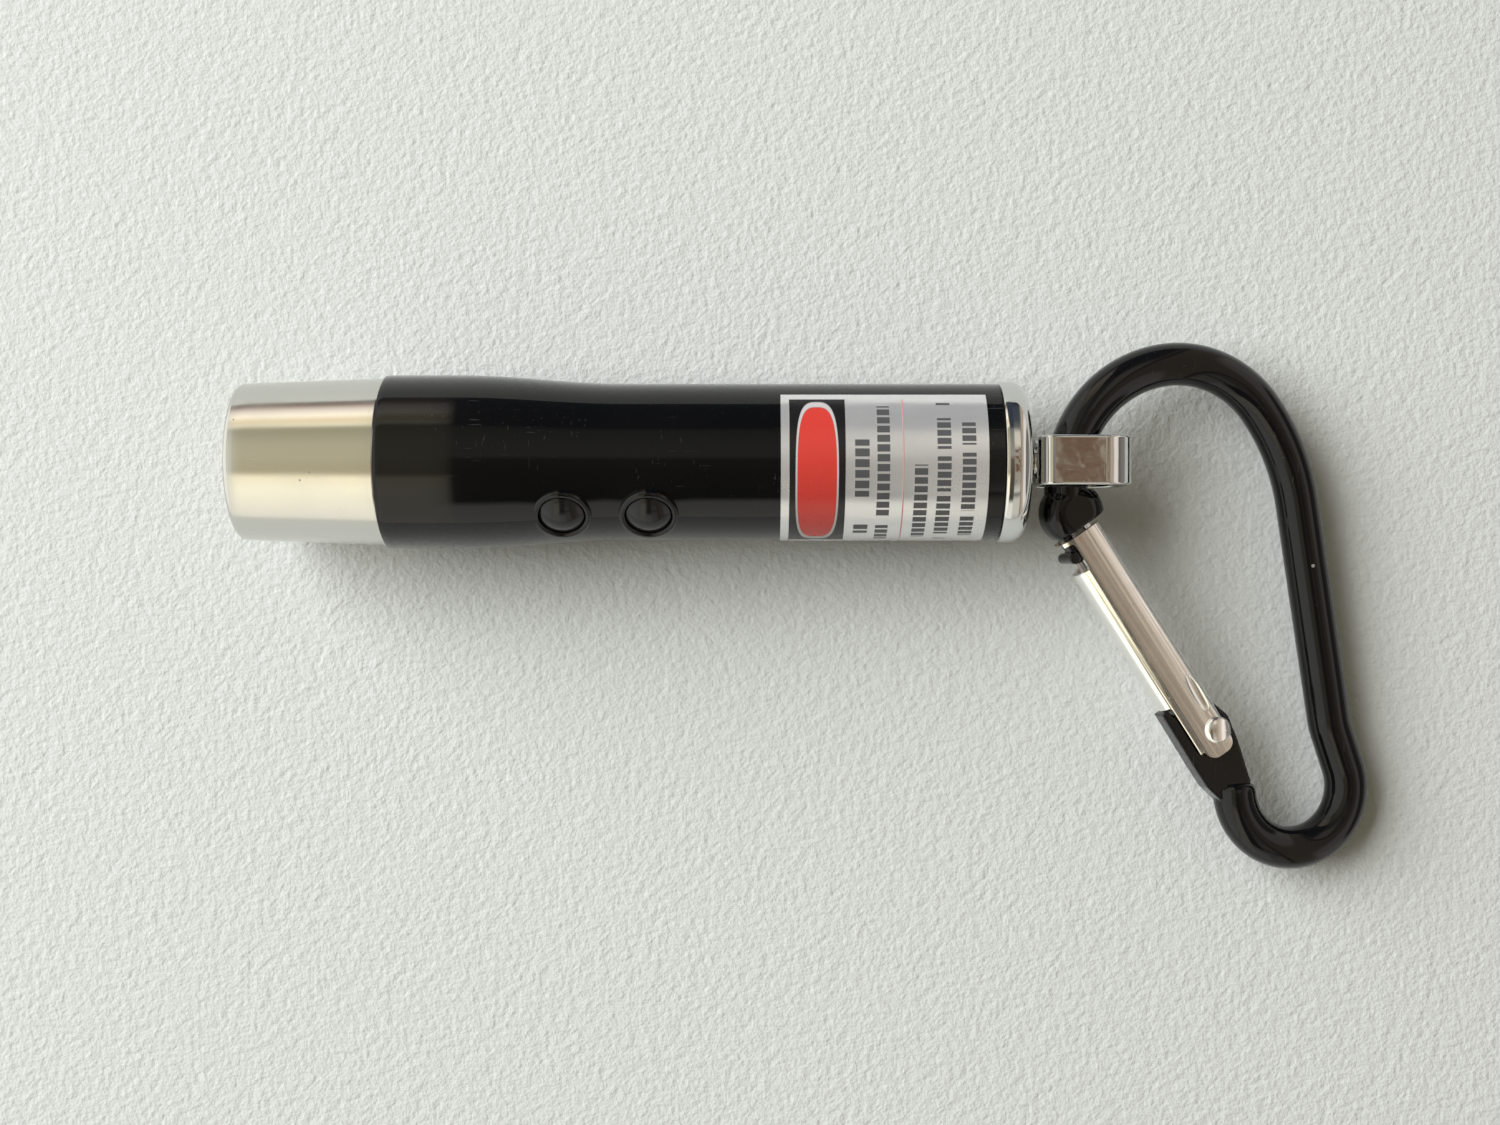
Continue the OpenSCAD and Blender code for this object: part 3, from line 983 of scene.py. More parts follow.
FINISHES: dict[str, Metal | Lacquer | Moulded] = {
    "satin_silver": Metal("Satin_plating", (0.68, 0.675, 0.64), 0.13, marks=0.10, waves=0.35, grime=0.10),
    "bright_chrome": Metal(
        "Bright_chrome", (0.72, 0.725, 0.72), 0.05, waves=0.5, grime=0.08, specks=0.03, dents=0.5),
    "gate_steel": Metal(
        "Stamped_steel", (0.97, 0.965, 0.945), 0.13, waves=0.8, grime=0.25, specks=0.05, dents=0.2),
    "spring_steel": Metal("Spring_wire", (0.62, 0.62, 0.62), 0.25, grime=0.2),
    "brass": Metal("Turned_brass", (0.78, 0.56, 0.27), 0.22, marks=0.3, grime=0.3),
    "gold_plate": Metal("Gold_plate", (0.86, 0.66, 0.30), 0.2, grime=0.2),
    "cell_steel": Metal("Cell_can", (0.75, 0.74, 0.71), 0.22, marks=0.1, grime=0.2),
    "black_gloss": Lacquer("Black_lacquer", (0.003, 0.003, 0.0033), 0.2, 0.9, waves=1.6, peel=0.02),
    "black_rod": Lacquer(
        "Black_rod_coat", (0.003, 0.003, 0.0035), 0.22, 0.85, waves=0.25, peel=0.05, dust=0.02),
    "button_black": Lacquer(
        "Button_plastic", (0.008, 0.008, 0.009), 0.16, 0.9, waves=0.1, peel=0.02, dust=0.02, coat_gloss=0.16),
    "holder_silver": Metal("Metallised_holder", (0.78, 0.78, 0.78), 0.14, grime=0.15),
    "part_black": Moulded("Black_moulding", (0.02, 0.02, 0.02), 0.45),
    "wire_red": Moulded("Wire_insulation", (0.45, 0.02, 0.015), 0.35),
    "board_green": Moulded("Board_green", (0.02, 0.16, 0.06), 0.35, grain=0.15),
    "sleeve_white": Moulded("Sleeve_paper", (0.72, 0.72, 0.68), 0.7, grain=1.2),
    "seal_rubber": Moulded("Seal_rubber", (0.02, 0.02, 0.02), 0.6, grain=0.6),
    "clear_lens": Moulded("Clear_lens", (0.95, 0.97, 0.98), 0.02, grain=0.0, clear=1.0),
    "led_resin": Moulded("Lamp_resin", (0.93, 0.95, 0.95), 0.06, grain=0.02, clear=0.85),
}


class Wardrobe:
    """Makes each finish once and puts it on pieces."""

    def __init__(self) -> None:
        """Starts with no finish made."""
        self.made: dict[str, Material] = {}

    def dress(self, piece: Piece, slot: str) -> None:
        """Gives a piece the finish of one of the record's material slots.

        Args:
            piece: the piece to dress.
            slot: the slot's name.
        """
        if slot not in self.made:
            self.made[slot] = FINISHES[slot].make()
        self.put(piece, self.made[slot])

    @staticmethod
    def put(piece: Piece, material: Material) -> None:
        """Makes a material the only one on a piece.

        Args:
            piece: the piece to dress.
            material: the finish.
        """
        piece.data.materials.clear()
        piece.data.materials.append(material)
        if piece.type == "MESH":
            piece.data.polygons.foreach_set("material_index", [0] * len(piece.data.polygons))


class Maker:
    """What every sub-assembly shares: the wardrobe, and the way a finished piece joins the frame."""

    def __init__(self, wardrobe: Wardrobe) -> None:
        """Keeps the wardrobe."""
        self.wardrobe = wardrobe

    def hand_over(self, piece: Piece, name: str, body: str, slot: str, *nodes: str,
                  material: Material | None = None) -> Piece:
        """Names, dresses and seats a finished piece.

        Args:
            piece: the finished piece.
            name: its name.
            body: the body that it moves with.
            slot: the record's material slot.
            nodes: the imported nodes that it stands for.
            material: a finish of its own, in place of the slot's.

        Returns:
            The piece.
        """
        piece.name = name
        piece.data.name = name
        if material is None:
            self.wardrobe.dress(piece, slot)
        else:
            self.wardrobe.put(piece, material)
        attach(piece, body)
        if nodes:
            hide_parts(*nodes)
        LOG.info("%s: %d faces", name, len(piece.data.polygons))
        return piece


def along_x() -> Matrix:
    """Turns a piece drawn along Z so that it lies along X."""
    return Matrix.Rotation(math.pi / 2, 4, "Y")


def arc(centre: tuple[float, float], radius: float, start: float, end: float,
        steps: int) -> list[tuple[float, float]]:
    """Points on an arc of a profile, in (height, radius), from one angle to another in degrees.

    Args:
        centre: the middle of the arc.
        radius: the radius, in mm.
        start: the first angle.
        end: the last angle.
        steps: how many steps the curve has.

    Returns:
        The points, in order.
    """
    points = []
    for index in range(steps + 1):
        angle = math.radians(start + (end - start) * index / steps)
        points.append((centre[0] + radius * math.cos(angle), centre[1] + radius * math.sin(angle)))
    return points


@dataclass
class Head:
    """The plated front sleeve and what shows inside its rim."""

    maker: Maker
    lip: float = 1.2
    opening: float = 5.9
    rim_r: float = 7.5
    seam_r: float = 8.03
    bore: float = 7.0
    step: float = 7.2
    well: float = 6.6
    rim_round: float = 0.5

    def bezel(self) -> None:
        """Turns the front sleeve."""
        low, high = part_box("head_bezel")
        length = (high.x - low.x) / MM
        outer = arc((self.rim_round, self.rim_r - self.rim_round), self.rim_round, 180, 94, 6)
        body = [(x, self.rim_r + (self.seam_r - self.rim_r) * x / length)
                for x in (2, 4, 6, 8, 10, 12, length - 0.22)]
        profile = [
            (0.12, self.opening), (0.0, self.opening + 0.12), *outer, *body,
            (length - 0.1, self.seam_r - 0.04), (length, self.seam_r - 0.16), (length, self.bore),
            (self.step, self.bore), (self.step, self.well), (self.lip, self.well), (self.lip, self.opening)]
        piece = Bench.turned(profile, 160)
        Bench.settle(piece, Matrix.Translation(Vector((low.x, 0, 0))) @ along_x())
        Bench.smooth(piece, 30)
        self.maker.hand_over(piece, "Front_bezel", "light", "satin_silver", "head_bezel")

    def build(self) -> None:
        """Builds every piece of the head."""
        self.bezel()


@dataclass
class Tube:
    """The black tube with its flared front, its button holes and the foil label."""

    maker: Maker
    head_r: float = 8.32
    tube_r: float = 7.5
    neck_x: float = 7.25
    neck_r: float = 6.95
    bore_r: float = 6.35
    flare: tuple[float, float] = (20.9, 37.0)
    socket_r: float = 6.75
    socket_len: float = 5.3
    label_from: float = 37.0
    label_turn: float = 138.0
    paper: float = 0.07
    hole_r: float = 2.2
    skin_from: float = 7.3
    boss: float = 0.11
    boss_reach: float = 4.6

    def radius_at(self, x: float) -> float:
        """The tube's outer radius at a distance from the front rim.

        Args:
            x: the distance from the front rim, in mm.

        Returns:
            The radius, in mm.
        """
        start, end = self.flare
        share = min(1.0, max(0.0, (x - start) / (end - start)))
        return self.tube_r + (self.head_r - self.tube_r) * (1 + math.cos(math.pi * share)) / 2

    def tube(self, buttons: Sequence[Vector], axis: Vector) -> None:
        """Turns the tube, raises its skin a little round the buttons, and cuts their holes.

        Args:
            buttons: the middles of the two buttons.
            axis: the direction in which the buttons stand.
        """
        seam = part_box("head_bezel")[1].x / MM
        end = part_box("body_tube")[1].x / MM
        edge, step = 0.14, 0.5
        first = seam + edge
        places = [first + step * i for i in range(int((end - first) / step))]
        skin = [(x, self.radius_at(x)) for x in places]
        profile = [
            (self.neck_x, self.bore_r), (self.neck_x, self.neck_r), (seam, self.neck_r),
            (seam, self.head_r - edge), (seam + 0.04, self.head_r - 0.04), *skin,
            (end - 0.1, self.tube_r), (end, self.tube_r - 0.1), (end, self.socket_r),
            (end - self.socket_len, self.socket_r), (end - self.socket_len, self.bore_r)]
        piece = Bench.turned(profile, 160)
        Bench.settle(piece, along_x())
        for vertex in piece.data.vertices:
            spoke = Vector((0, vertex.co.y, vertex.co.z))
            if spoke.length < self.skin_from * MM:
                continue
            for centre in buttons:
                offset = vertex.co - centre
                away = (offset - axis * offset.dot(axis)).length / MM
                if away < self.boss_reach and spoke.dot(axis) > 0:
                    rise = self.boss * (1 + math.cos(math.pi * away / self.boss_reach)) / 2
                    vertex.co += spoke.normalized() * rise * MM
        tilt = axis.to_track_quat("Z", "Y").to_matrix().to_4x4()
        for centre in buttons:
            drill = Bench.peg(self.hole_r, 4.5, 12)
            Bench.settle(drill, Matrix.Translation(Vector((centre.x, 0, 0))) @ tilt)
            Bench.work(piece, drill)
        Bench.smooth(piece, 30)
        self.maker.hand_over(piece, "Black_tube", "light", "black_gloss", "body_tube")

    def label(self) -> None:
        """Wraps the foil label round the tube."""
        low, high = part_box("foil_label")
        radius = self.tube_r + 0.02
        steps = 16
        long = (high.x - low.x) / MM
        sheet = [(low.x / MM + long * i / steps, radius) for i in range(steps + 1)]
        piece = Bench.settle(Bench.turned(sheet, 360, Ends.OPEN), along_x())

        def beyond(face: Face) -> bool:
            """Tells a face outside the label's turn, which starts at +Y and goes up over the tube."""
            middle = face.calc_center_median()
            return not 0 < math.degrees(math.atan2(middle.z, middle.y)) - self.label_from < self.label_turn

        Bench.drop_faces(piece, beyond)
        if piece.data.polygons[0].normal.dot(Vector((0, *piece.data.polygons[0].center[1:]))) < 0:
            piece.data.flip_normals()
        Bench.pick(piece)
        paper = piece.modifiers.new("paper", "SOLIDIFY")
        paper.thickness = self.paper * MM
        paper.offset = 1
        bpy.ops.object.modifier_apply(modifier=paper.name)
        Bench.smooth(piece, 40)
        middle = math.radians(90 - self.label_from - self.label_turn / 2)
        foil = PrintedFoil("Printed_foil", low.x / MM, self.tube_r, middle).make()
        self.maker.hand_over(piece, "Foil_label", "light", "label_foil", "foil_label", material=foil)

    def build(self, buttons: Sequence[Vector], axis: Vector) -> None:
        """Builds the tube and its label."""
        self.tube(buttons, axis)
        self.label()


@dataclass
class Buttons:
    """The two domed push buttons and the raised rings round them."""

    maker: Maker
    cap_r: float = 2.1
    top: float = 8.45
    sag: float = 0.75
    flange_r: float = 2.6
    flange: tuple[float, float] = (5.4, 5.8)
    ring_r: float = 2.8
    ring: tuple[float, float] = (6.9, 7.95)

    def build(self, places: Sequence[Vector], axis: Vector) -> None:
        """Turns both buttons and both rings, and stands them on their axis.

        Args:
            places: the middles of the two buttons.
            axis: the direction in which the buttons stand.
        """
        tilt = axis.to_track_quat("Z", "Y").to_matrix().to_4x4()
        ball = (self.cap_r ** 2 + self.sag ** 2) / (2 * self.sag)
        limit = math.asin((self.cap_r - 0.12) / ball)
        dome = [(self.top - ball + ball * math.cos(turn), ball * math.sin(turn))
                for turn in (limit * (1 - i / 10) for i in range(10))]
        shoulder = dome[0][0]
        for name, place in zip(("laser", "light"), places):
            title = name.title()
            stand = Matrix.Translation(Vector((place.x, 0, 0))) @ tilt
            cap = Bench.turned([
                (self.flange[0], 0.5), (self.flange[0], self.flange_r), (self.flange[1], self.flange_r),
                (self.flange[1], self.cap_r), (shoulder - 0.16, self.cap_r),
                (shoulder - 0.05, self.cap_r - 0.03), *dome, (self.top, 0)], 64, Ends.FILLED)
            Bench.settle(cap, stand)
            Bench.smooth(cap, 34)
            self.maker.hand_over(cap, f"{title}_button", f"{name}_button", "button_black", f"{name}_button")
            inner = self.cap_r + 0.06
            low, high = self.ring
            crown = (self.ring_r + inner) / 2
            half = (self.ring_r - inner) / 2
            lip = arc((high - half, crown), half, -90, 90, 10)
            ring = Bench.turned([(low, inner), *lip, (low + 0.3, self.ring_r), (low, self.ring_r)], 72)
            Bench.settle(ring, stand)
            Bench.smooth(ring, 34)
            self.maker.hand_over(ring, f"{title}_button_ring", "light", "black_gloss", f"{name}_button_ring")


@dataclass
class Tail:
    """The chrome cap, its collar and rivet, and the swivel ring."""

    maker: Maker
    cap_r: float = 7.74
    spigot_r: float = 6.7
    bore: float = 5.4
    edge: float = 1.5
    wall: float = 1.5
    rivet_r: float = 1.2
    rivet_head_r: float = 1.7
    run_gap: float = 0.05
    collar_r: float = 2.2
    band: float = 0.7
    near_round: float = 1.5
    far_round: float = 3.0

    def cap(self) -> None:
        """Turns the cap, with its thread ridges and rolled end."""
        low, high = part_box("tail_cap")
        start, end = low.x / MM, high.x / MM
        seam = start + 5
        root, crest = self.spigot_r - 0.3, self.spigot_r - 0.02
        ridges: list[tuple[float, float]] = []
        for index in range(4):
            at = start + 0.7 + index
            ridges += [(at, root), (at + 0.3, crest), (at + 0.5, crest), (at + 0.8, root)]
        rolled = arc((end - self.edge, self.cap_r - self.edge), self.edge, 90, 6, 12)
        profile = [
            (start, self.bore), (start, root), *ridges, (seam, root), (seam, self.cap_r - 0.22),
            (seam + 0.06, self.cap_r - 0.06), (seam + 0.2, self.cap_r), (seam + 0.75, self.cap_r),
            *rolled, (end, self.cap_r - self.edge - 0.4), (end, 4.0), (end, self.rivet_r + self.run_gap),
            (end - self.wall, self.rivet_r + self.run_gap), (end - self.wall, self.bore)]
        piece = Bench.turned(profile, 160)
        Bench.settle(piece, along_x())
        Bench.smooth(piece, 30)
        self.maker.hand_over(piece, "Tail_cap", "cap", "bright_chrome", "tail_cap")

    def rivet(self) -> None:
        """Turns the collar and the domed rivet that hold the ring."""
        low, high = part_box("swivel_collar")
        a, b = low.x / MM, high.x / MM
        bore, outer = self.rivet_r + 0.02, self.collar_r
        collar = Bench.turned([
            (a, bore), (a, outer - 0.1), (a + 0.12, outer), (b - 0.2, outer), (b, outer - 0.18),
            (b, bore)], 72)
        Bench.settle(collar, along_x())
        Bench.smooth(collar, 30)
        self.maker.hand_over(collar, "Swivel_collar", "cap", "bright_chrome", "swivel_collar")
        low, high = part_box("swivel_rivet")
        a, b = low.x / MM, high.x / MM
        head, wide, foot = 0.2, self.rivet_head_r, a + 0.5
        dome = [(b - head * (1 - math.cos(turn)), wide * math.sin(turn))
                for turn in (math.radians(t) for t in (75, 60, 45, 30, 15))]
        rivet = Bench.turned([
            (a, 0.4), (a, wide - 0.1), (a + 0.1, wide), (foot, wide), (foot, self.rivet_r),
            (b - head, self.rivet_r), (b - head, wide), *dome, (b, 0)], 64, Ends.FILLED)
        Bench.settle(rivet, along_x())
        Bench.smooth(rivet, 30)
        self.maker.hand_over(rivet, "Swivel_rivet", "cap", "bright_chrome", "swivel_rivet")

    def ring(self) -> None:
        """Bends the flat band into the ring."""
        low, high = (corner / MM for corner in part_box("swivel_ring"))
        piece = Bench.block(low, high)

        def upright(edge: Edge, side: float) -> bool:
            """Tells an edge along Y at one end of the ring."""
            a, b = (v.co / MM for v in edge.verts)
            return abs(a.x - b.x) < 0.01 and abs(a.z - b.z) < 0.01 and abs(a.x - side) < 0.01

        Bench.round_edges(piece, self.near_round, 14, lambda edge: upright(edge, low.x))
        Bench.round_edges(piece, self.far_round, 22, lambda edge: upright(edge, high.x))
        Bench.drop_faces(piece, lambda face: abs(face.normal.y) > 0.9)
        Bench.wall(piece, self.band)
        drill = Bench.peg(self.rivet_r + self.run_gap, -1.5, 1.5, sides=64)
        Bench.settle(drill, Matrix.Translation(Vector(((low.x + self.band / 2) * MM, 0, 0))) @ along_x())
        Bench.work(piece, drill)
        Bench.soften(piece, 0.27, 5, 50)
        Bench.smooth(piece, 40)
        self.maker.hand_over(piece, "Swivel_ring", "ring", "bright_chrome", "swivel_ring")

    def build(self) -> None:
        """Builds every piece of the tail."""
        self.cap()
        self.rivet()
        self.ring()


@dataclass
class SnapClip:
    """The black rod with its cast ends, the stamped gate and the gate's rivet."""

    maker: Maker
    hinge: Vector
    tilt: float
    rod_r: float = 2.1
    start: tuple[float, float] = (-0.15, -2.2)
    path: Sequence[tuple[float, float]] = field(default_factory=lambda: (
        (12, 35), (11.8, 50), (10.5, 58), (21, 28), (21.6, 0), (7, -10), (3.8, 0), (5.95, 196)))
    gate_at: tuple[float, float] = (15.05, -28.34)
    gate_turn: float = 123.8
    gate_long: float = 25.8
    gate_w: float = 4.6
    gate_t: float = 3.8
    wall: float = 0.5
    crown: float = 0.05
    pivot: tuple[float, float] = (2.3, -1.0)
    slot_half: float = 1.39
    catch_half: float = 1.1
    web_from: float = 6.6
    lip_from: float = 9
    notch_from: float = 22.4
    notch_to: float = 25.4
    dish_at: tuple[float, float] = (6.45, -1.25)
    dish: tuple[float, float, float] = (2.15, 0.68, 0.42)

    def plane(self) -> Matrix:
        """The clip's own plane, where x runs from the ring to the spine."""
        return Matrix.Translation(self.hinge) @ Matrix.Rotation(self.tilt, 4, "Y")

    def gate_frame(self) -> Matrix:
        """The gate's frame, where x runs from its rivet to the nose and y outwards."""
        shift = Matrix.Translation(Vector((*self.gate_at, 0)) * MM)
        return self.plane() @ shift @ Matrix.Rotation(math.radians(self.gate_turn), 4, "Z")

    def rod(self) -> Piece:
        """Bends the rod.

        Returns:
            The rod, in its place.
        """
        rod = BentRod((self.start[0], self.start[1] - 1.6), self.rod_r)
        rod.straight(1.6)
        for size, angle in self.path:
            if angle == 0:
                rod.straight(size)
            else:
                rod.bend(size, angle)
        for length, share in ((0.35, 0.97), (0.3, 0.92), (0.25, 0.82), (0.18, 0.6)):
            rod.taper(length, share)
        return Bench.settle(rod.finish(), self.plane())

    def cast_ends(self) -> Piece:
        """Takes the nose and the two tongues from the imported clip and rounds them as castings.

        Returns:
            The three cast ends as one piece.
        """
        source = bpy.data.objects["clip_frame"]
        piece = source.copy()
        piece.data = source.data.copy()
        piece.parent = None
        for key in list(piece.keys()):
            del piece[key]
        bpy.context.scene.collection.objects.link(piece)
        piece.hide_render = False
        piece.hide_viewport = False
        Bench.outward(piece)
        nose = Bench.block((-4.2, -10.5, -4), (5.2, -2.6, 4))
        Bench.settle(nose, self.plane())
        tail = Bench.block((-6, -3.6, -4), (7.2, 4.4, 4))
        Bench.settle(tail, self.gate_frame())
        Bench.work(piece, Bench.merge([nose, tail]), Tool.KEEP)
        Bench.pick(piece)
        shell = piece.modifiers.new("cast", "REMESH")
        shell.mode = "VOXEL"
        shell.voxel_size = 0.00011
        bpy.ops.object.modifier_apply(modifier=shell.name)
        soft = piece.modifiers.new("soft", "SMOOTH")
        soft.factor = 0.5
        soft.iterations = 5
        bpy.ops.object.modifier_apply(modifier=soft.name)
        bpy.ops.object.shade_smooth()
        return piece

    def frame(self) -> None:
        """Joins the rod and its cast ends."""
        ends = self.cast_ends()
        rod = Bench.smooth(self.rod(), 50)
        piece = Bench.merge([rod, ends])
        self.maker.hand_over(piece, "Clip_frame", "clip", "black_rod", "clip_frame")

    def gate(self) -> None:
        """Stamps the gate: a channel with a round back, curled lips, a dimple and cut-backs."""
        w, t = self.gate_w / 2, self.gate_t / 2
        piece = Bench.block((0, -w, -t), (self.gate_long, w, t))

        def lengthwise(edge: Edge, side: float) -> bool:
            """Tells an edge along X on one side of the gate."""
            a, b = (v.co / MM for v in edge.verts)
            return abs(a.x - b.x) > 5 and a.y * side > w - 0.01 and b.y * side > w - 0.01

        Bench.round_edges(piece, t - 0.02, 14, lambda edge: lengthwise(edge, 1))
        Bench.round_edges(piece, 0.9, 7, lambda edge: lengthwise(edge, -1))
        left, right = 0.9 - w, w - t
        lines = [left + (right - left) * i / 8 for i in range(1, 8)]
        for line in lines:
            Bench.select(piece, "FACE", lambda face: True)
            bpy.ops.mesh.bisect(plane_co=(0, line * MM, 0), plane_no=(0, 1, 0))
            bpy.ops.object.mode_set(mode="OBJECT")
        for vertex in piece.data.vertices:
            share = (vertex.co.y / MM - left) / (right - left)
            if 0.01 < share < 0.99:
                vertex.co.z += math.copysign(self.crown * MM * (1 - (2 * share - 1) ** 2), vertex.co.z)
        Bench.drop_faces(piece, lambda face: abs(face.normal.x) > 0.9 or face.normal.y < -0.97)
        Bench.wall(piece, self.wall)

        def inner_corner(edge: Edge) -> bool:
            """Tells an edge of a cutter, along Z, that leaves a corner inside the gate."""
            a, b = (v.co / MM for v in edge.verts)
            return abs(a.z - b.z) > 2 and -0.5 < a.x < 25.5

        slot, catch = self.slot_half, self.catch_half
        cuts = [
            Bench.block((-1, w - 0.7, -5), (self.web_from, 5, 5)),
            Bench.block((-1, 0, -slot), (self.web_from, 5, slot)),
            Bench.block((-1, -5, -slot), (self.lip_from, 0, slot)),
            Bench.block((self.notch_from, 1.1, -5), (self.notch_to, 5, 5)),
            Bench.block((self.notch_from, 0, -catch), (27, 5, catch))]
        for cut in cuts:
            Bench.round_edges(cut, 0.28, 4, inner_corner)
            Bench.work(piece, cut)
        hole = Bench.peg(0.8, -5, 5, at=self.pivot)
        Bench.work(piece, hole)
        for side in (1, -1):
            corner = Bench.block((-1, w - 1.5, -5), (1.1, w + 1, 5))
            post = Bench.peg(1.1, -6, 6, at=(1.1, w - 1.5))
            Bench.work(corner, post)
            if side < 0:
                Bench.settle(corner, Matrix.Rotation(math.pi, 4, "X"))
            else:
                Bench.settle(corner, Matrix.Translation(Vector((0, -0.7 * MM, 0))))
            Bench.work(piece, corner)
        Bench.clear()
        middle = (self.dish_at[0] * MM, self.dish_at[1] * MM, (t + 0.12) * MM)
        bpy.ops.mesh.primitive_uv_sphere_add(segments=48, ring_count=32, radius=MM, location=middle)
        dish = bpy.context.object
        dish.scale = self.dish
        Bench.work(piece, Bench.settle(dish))
        Bench.soften(piece, 0.07, 2, 40)
        Bench.settle(piece, self.gate_frame())
        Bench.smooth(piece, 35)
        self.maker.hand_over(piece, "Snap_gate", "gate", "gate_steel", "clip_gate")

    def rivet(self) -> None:
        """Turns the gate's rivet with two domed heads."""
        half = self.gate_t / 2 + 0.05
        dome = [(half + 0.1 + 0.44 * math.sin(turn), 1.3 * math.cos(turn))
                for turn in (math.radians(a) for a in (0, 20, 40, 60, 78))]
        upper = [(half, 0.75), (half, 1.25), *dome, (half + 0.545, 0)]
        lower = [(-h, r) for h, r in reversed(upper[:-1])]
        piece = Bench.turned([(lower[0][0] - 0.005, 0.05), *lower, *upper], 56, Ends.FILLED)
        Bench.settle(piece, self.gate_frame() @ Matrix.Translation(Vector((*self.pivot, 0)) * MM))
        Bench.smooth(piece, 34)
        self.maker.hand_over(piece, "Gate_rivet", "clip", "gate_steel", "gate_rivet")

    def build(self) -> None:
        """Builds every piece of the clip."""
        self.frame()
        self.gate()
        self.rivet()


@dataclass
class Inside:
    """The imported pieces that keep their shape: they only get their finish."""

    maker: Maker

    def build(self, frame: dict) -> None:
        """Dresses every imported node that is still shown.
        """
        slots = {row["node"]: row["material_slot"] for row in frame["record"]["subparts"]}
        for name, node in frame["nodes"].items():
            if not node.hide_render:
                self.maker.wardrobe.dress(node, slots[name])
                LOG.info("%s keeps its shape", name)


# The room's brightness at angles from overhead towards +Y, in degrees, as seen by pieces at the
# head, along the tube, and at the tail and clip.
ROOM_AT_HEAD: Stops = (
    (-180, (0.24, 0.24, 0.22)), (-99, (0.62, 0.61, 0.56)), (-90, (1.1, 1.06, 0.94)),
    (-43, (1.45, 1.36, 1.08)), (-25, (1.40, 1.27, 0.93)), (-18, (0.56, 0.49, 0.33)),
    (2, (0.62, 0.56, 0.39)), (22, (0.60, 0.55, 0.39)), (46, (0.42, 0.39, 0.27)),
    (50, (1.2, 1.12, 0.85)), (58, (1.15, 0.93, 0.60)), (66, (1.6, 1.45, 1.2)),
    (76, (1.1, 0.95, 0.85)), (84, (0.32, 0.24, 0.20)), (92, (0.20, 0.19, 0.17)),
    (180, (0.24, 0.24, 0.22)))
ROOM_AT_TUBE: Stops = (
    (-180, (0.20, 0.20, 0.18)), (-99, (0.55, 0.55, 0.50)), (-90, (0.95, 0.93, 0.84)),
    (-64, (0.95, 0.92, 0.82)), (-56, (0.07, 0.07, 0.06)), (-20, (0.10, 0.085, 0.07)),
    (0, (0.14, 0.12, 0.09)), (6, (0.36, 0.34, 0.30)), (22, (0.32, 0.31, 0.27)),
    (42, (0.22, 0.22, 0.20)), (48, (0.05, 0.055, 0.07)), (88, (0.045, 0.055, 0.075)),
    (94, (0.15, 0.15, 0.14)), (180, (0.20, 0.20, 0.18)))
ROOM_AT_TAIL: Stops = (
    (-180, (0.20, 0.20, 0.18)), (-96, (0.45, 0.43, 0.38)), (-80, (0.70, 0.67, 0.58)),
    (-57, (0.68, 0.65, 0.56)), (-50, (0.22, 0.21, 0.18)), (-44, (0.72, 0.68, 0.60)),
    (-32, (0.42, 0.38, 0.31)), (0, (0.40, 0.345, 0.27)), (13, (0.48, 0.42, 0.34)),
    (22, (0.82, 0.74, 0.60)), (38, (0.78, 0.71, 0.60)), (46, (0.20, 0.19, 0.18)),
    (60, (0.07, 0.085, 0.10)), (82, (0.06, 0.07, 0.09)), (90, (0.02, 0.02, 0.02)),
    (96, (0.18, 0.18, 0.17)))
# The room's brightness from the front end's side (0) to the tail's side (1).
ROOM_SIDES: Stops = (
    (0.0, (1.25, 1.25, 1.18)), (0.24, (1.15, 1.15, 1.08)), (0.28, (0.5, 0.5, 0.46)),
    (0.70, (0.40, 0.34, 0.28)), (0.715, (0.10, 0.08, 0.06)), (0.735, (0.52, 0.43, 0.33)),
    (0.82, (0.50, 0.42, 0.33)), (0.845, (0.98, 0.88, 0.80)), (0.92, (0.90, 0.86, 0.80)),
    (0.94, (0.16, 0.12, 0.10)), (1.0, (0.25, 0.24, 0.22)))
ROOM_BLOTCHES: Colour = (0.17, 0.10, 0.06)
ROOM_SEEN: Colour = (0.74, 0.75, 0.73)
ROOM_FILL: Colour = (0.165, 0.15, 0.112)


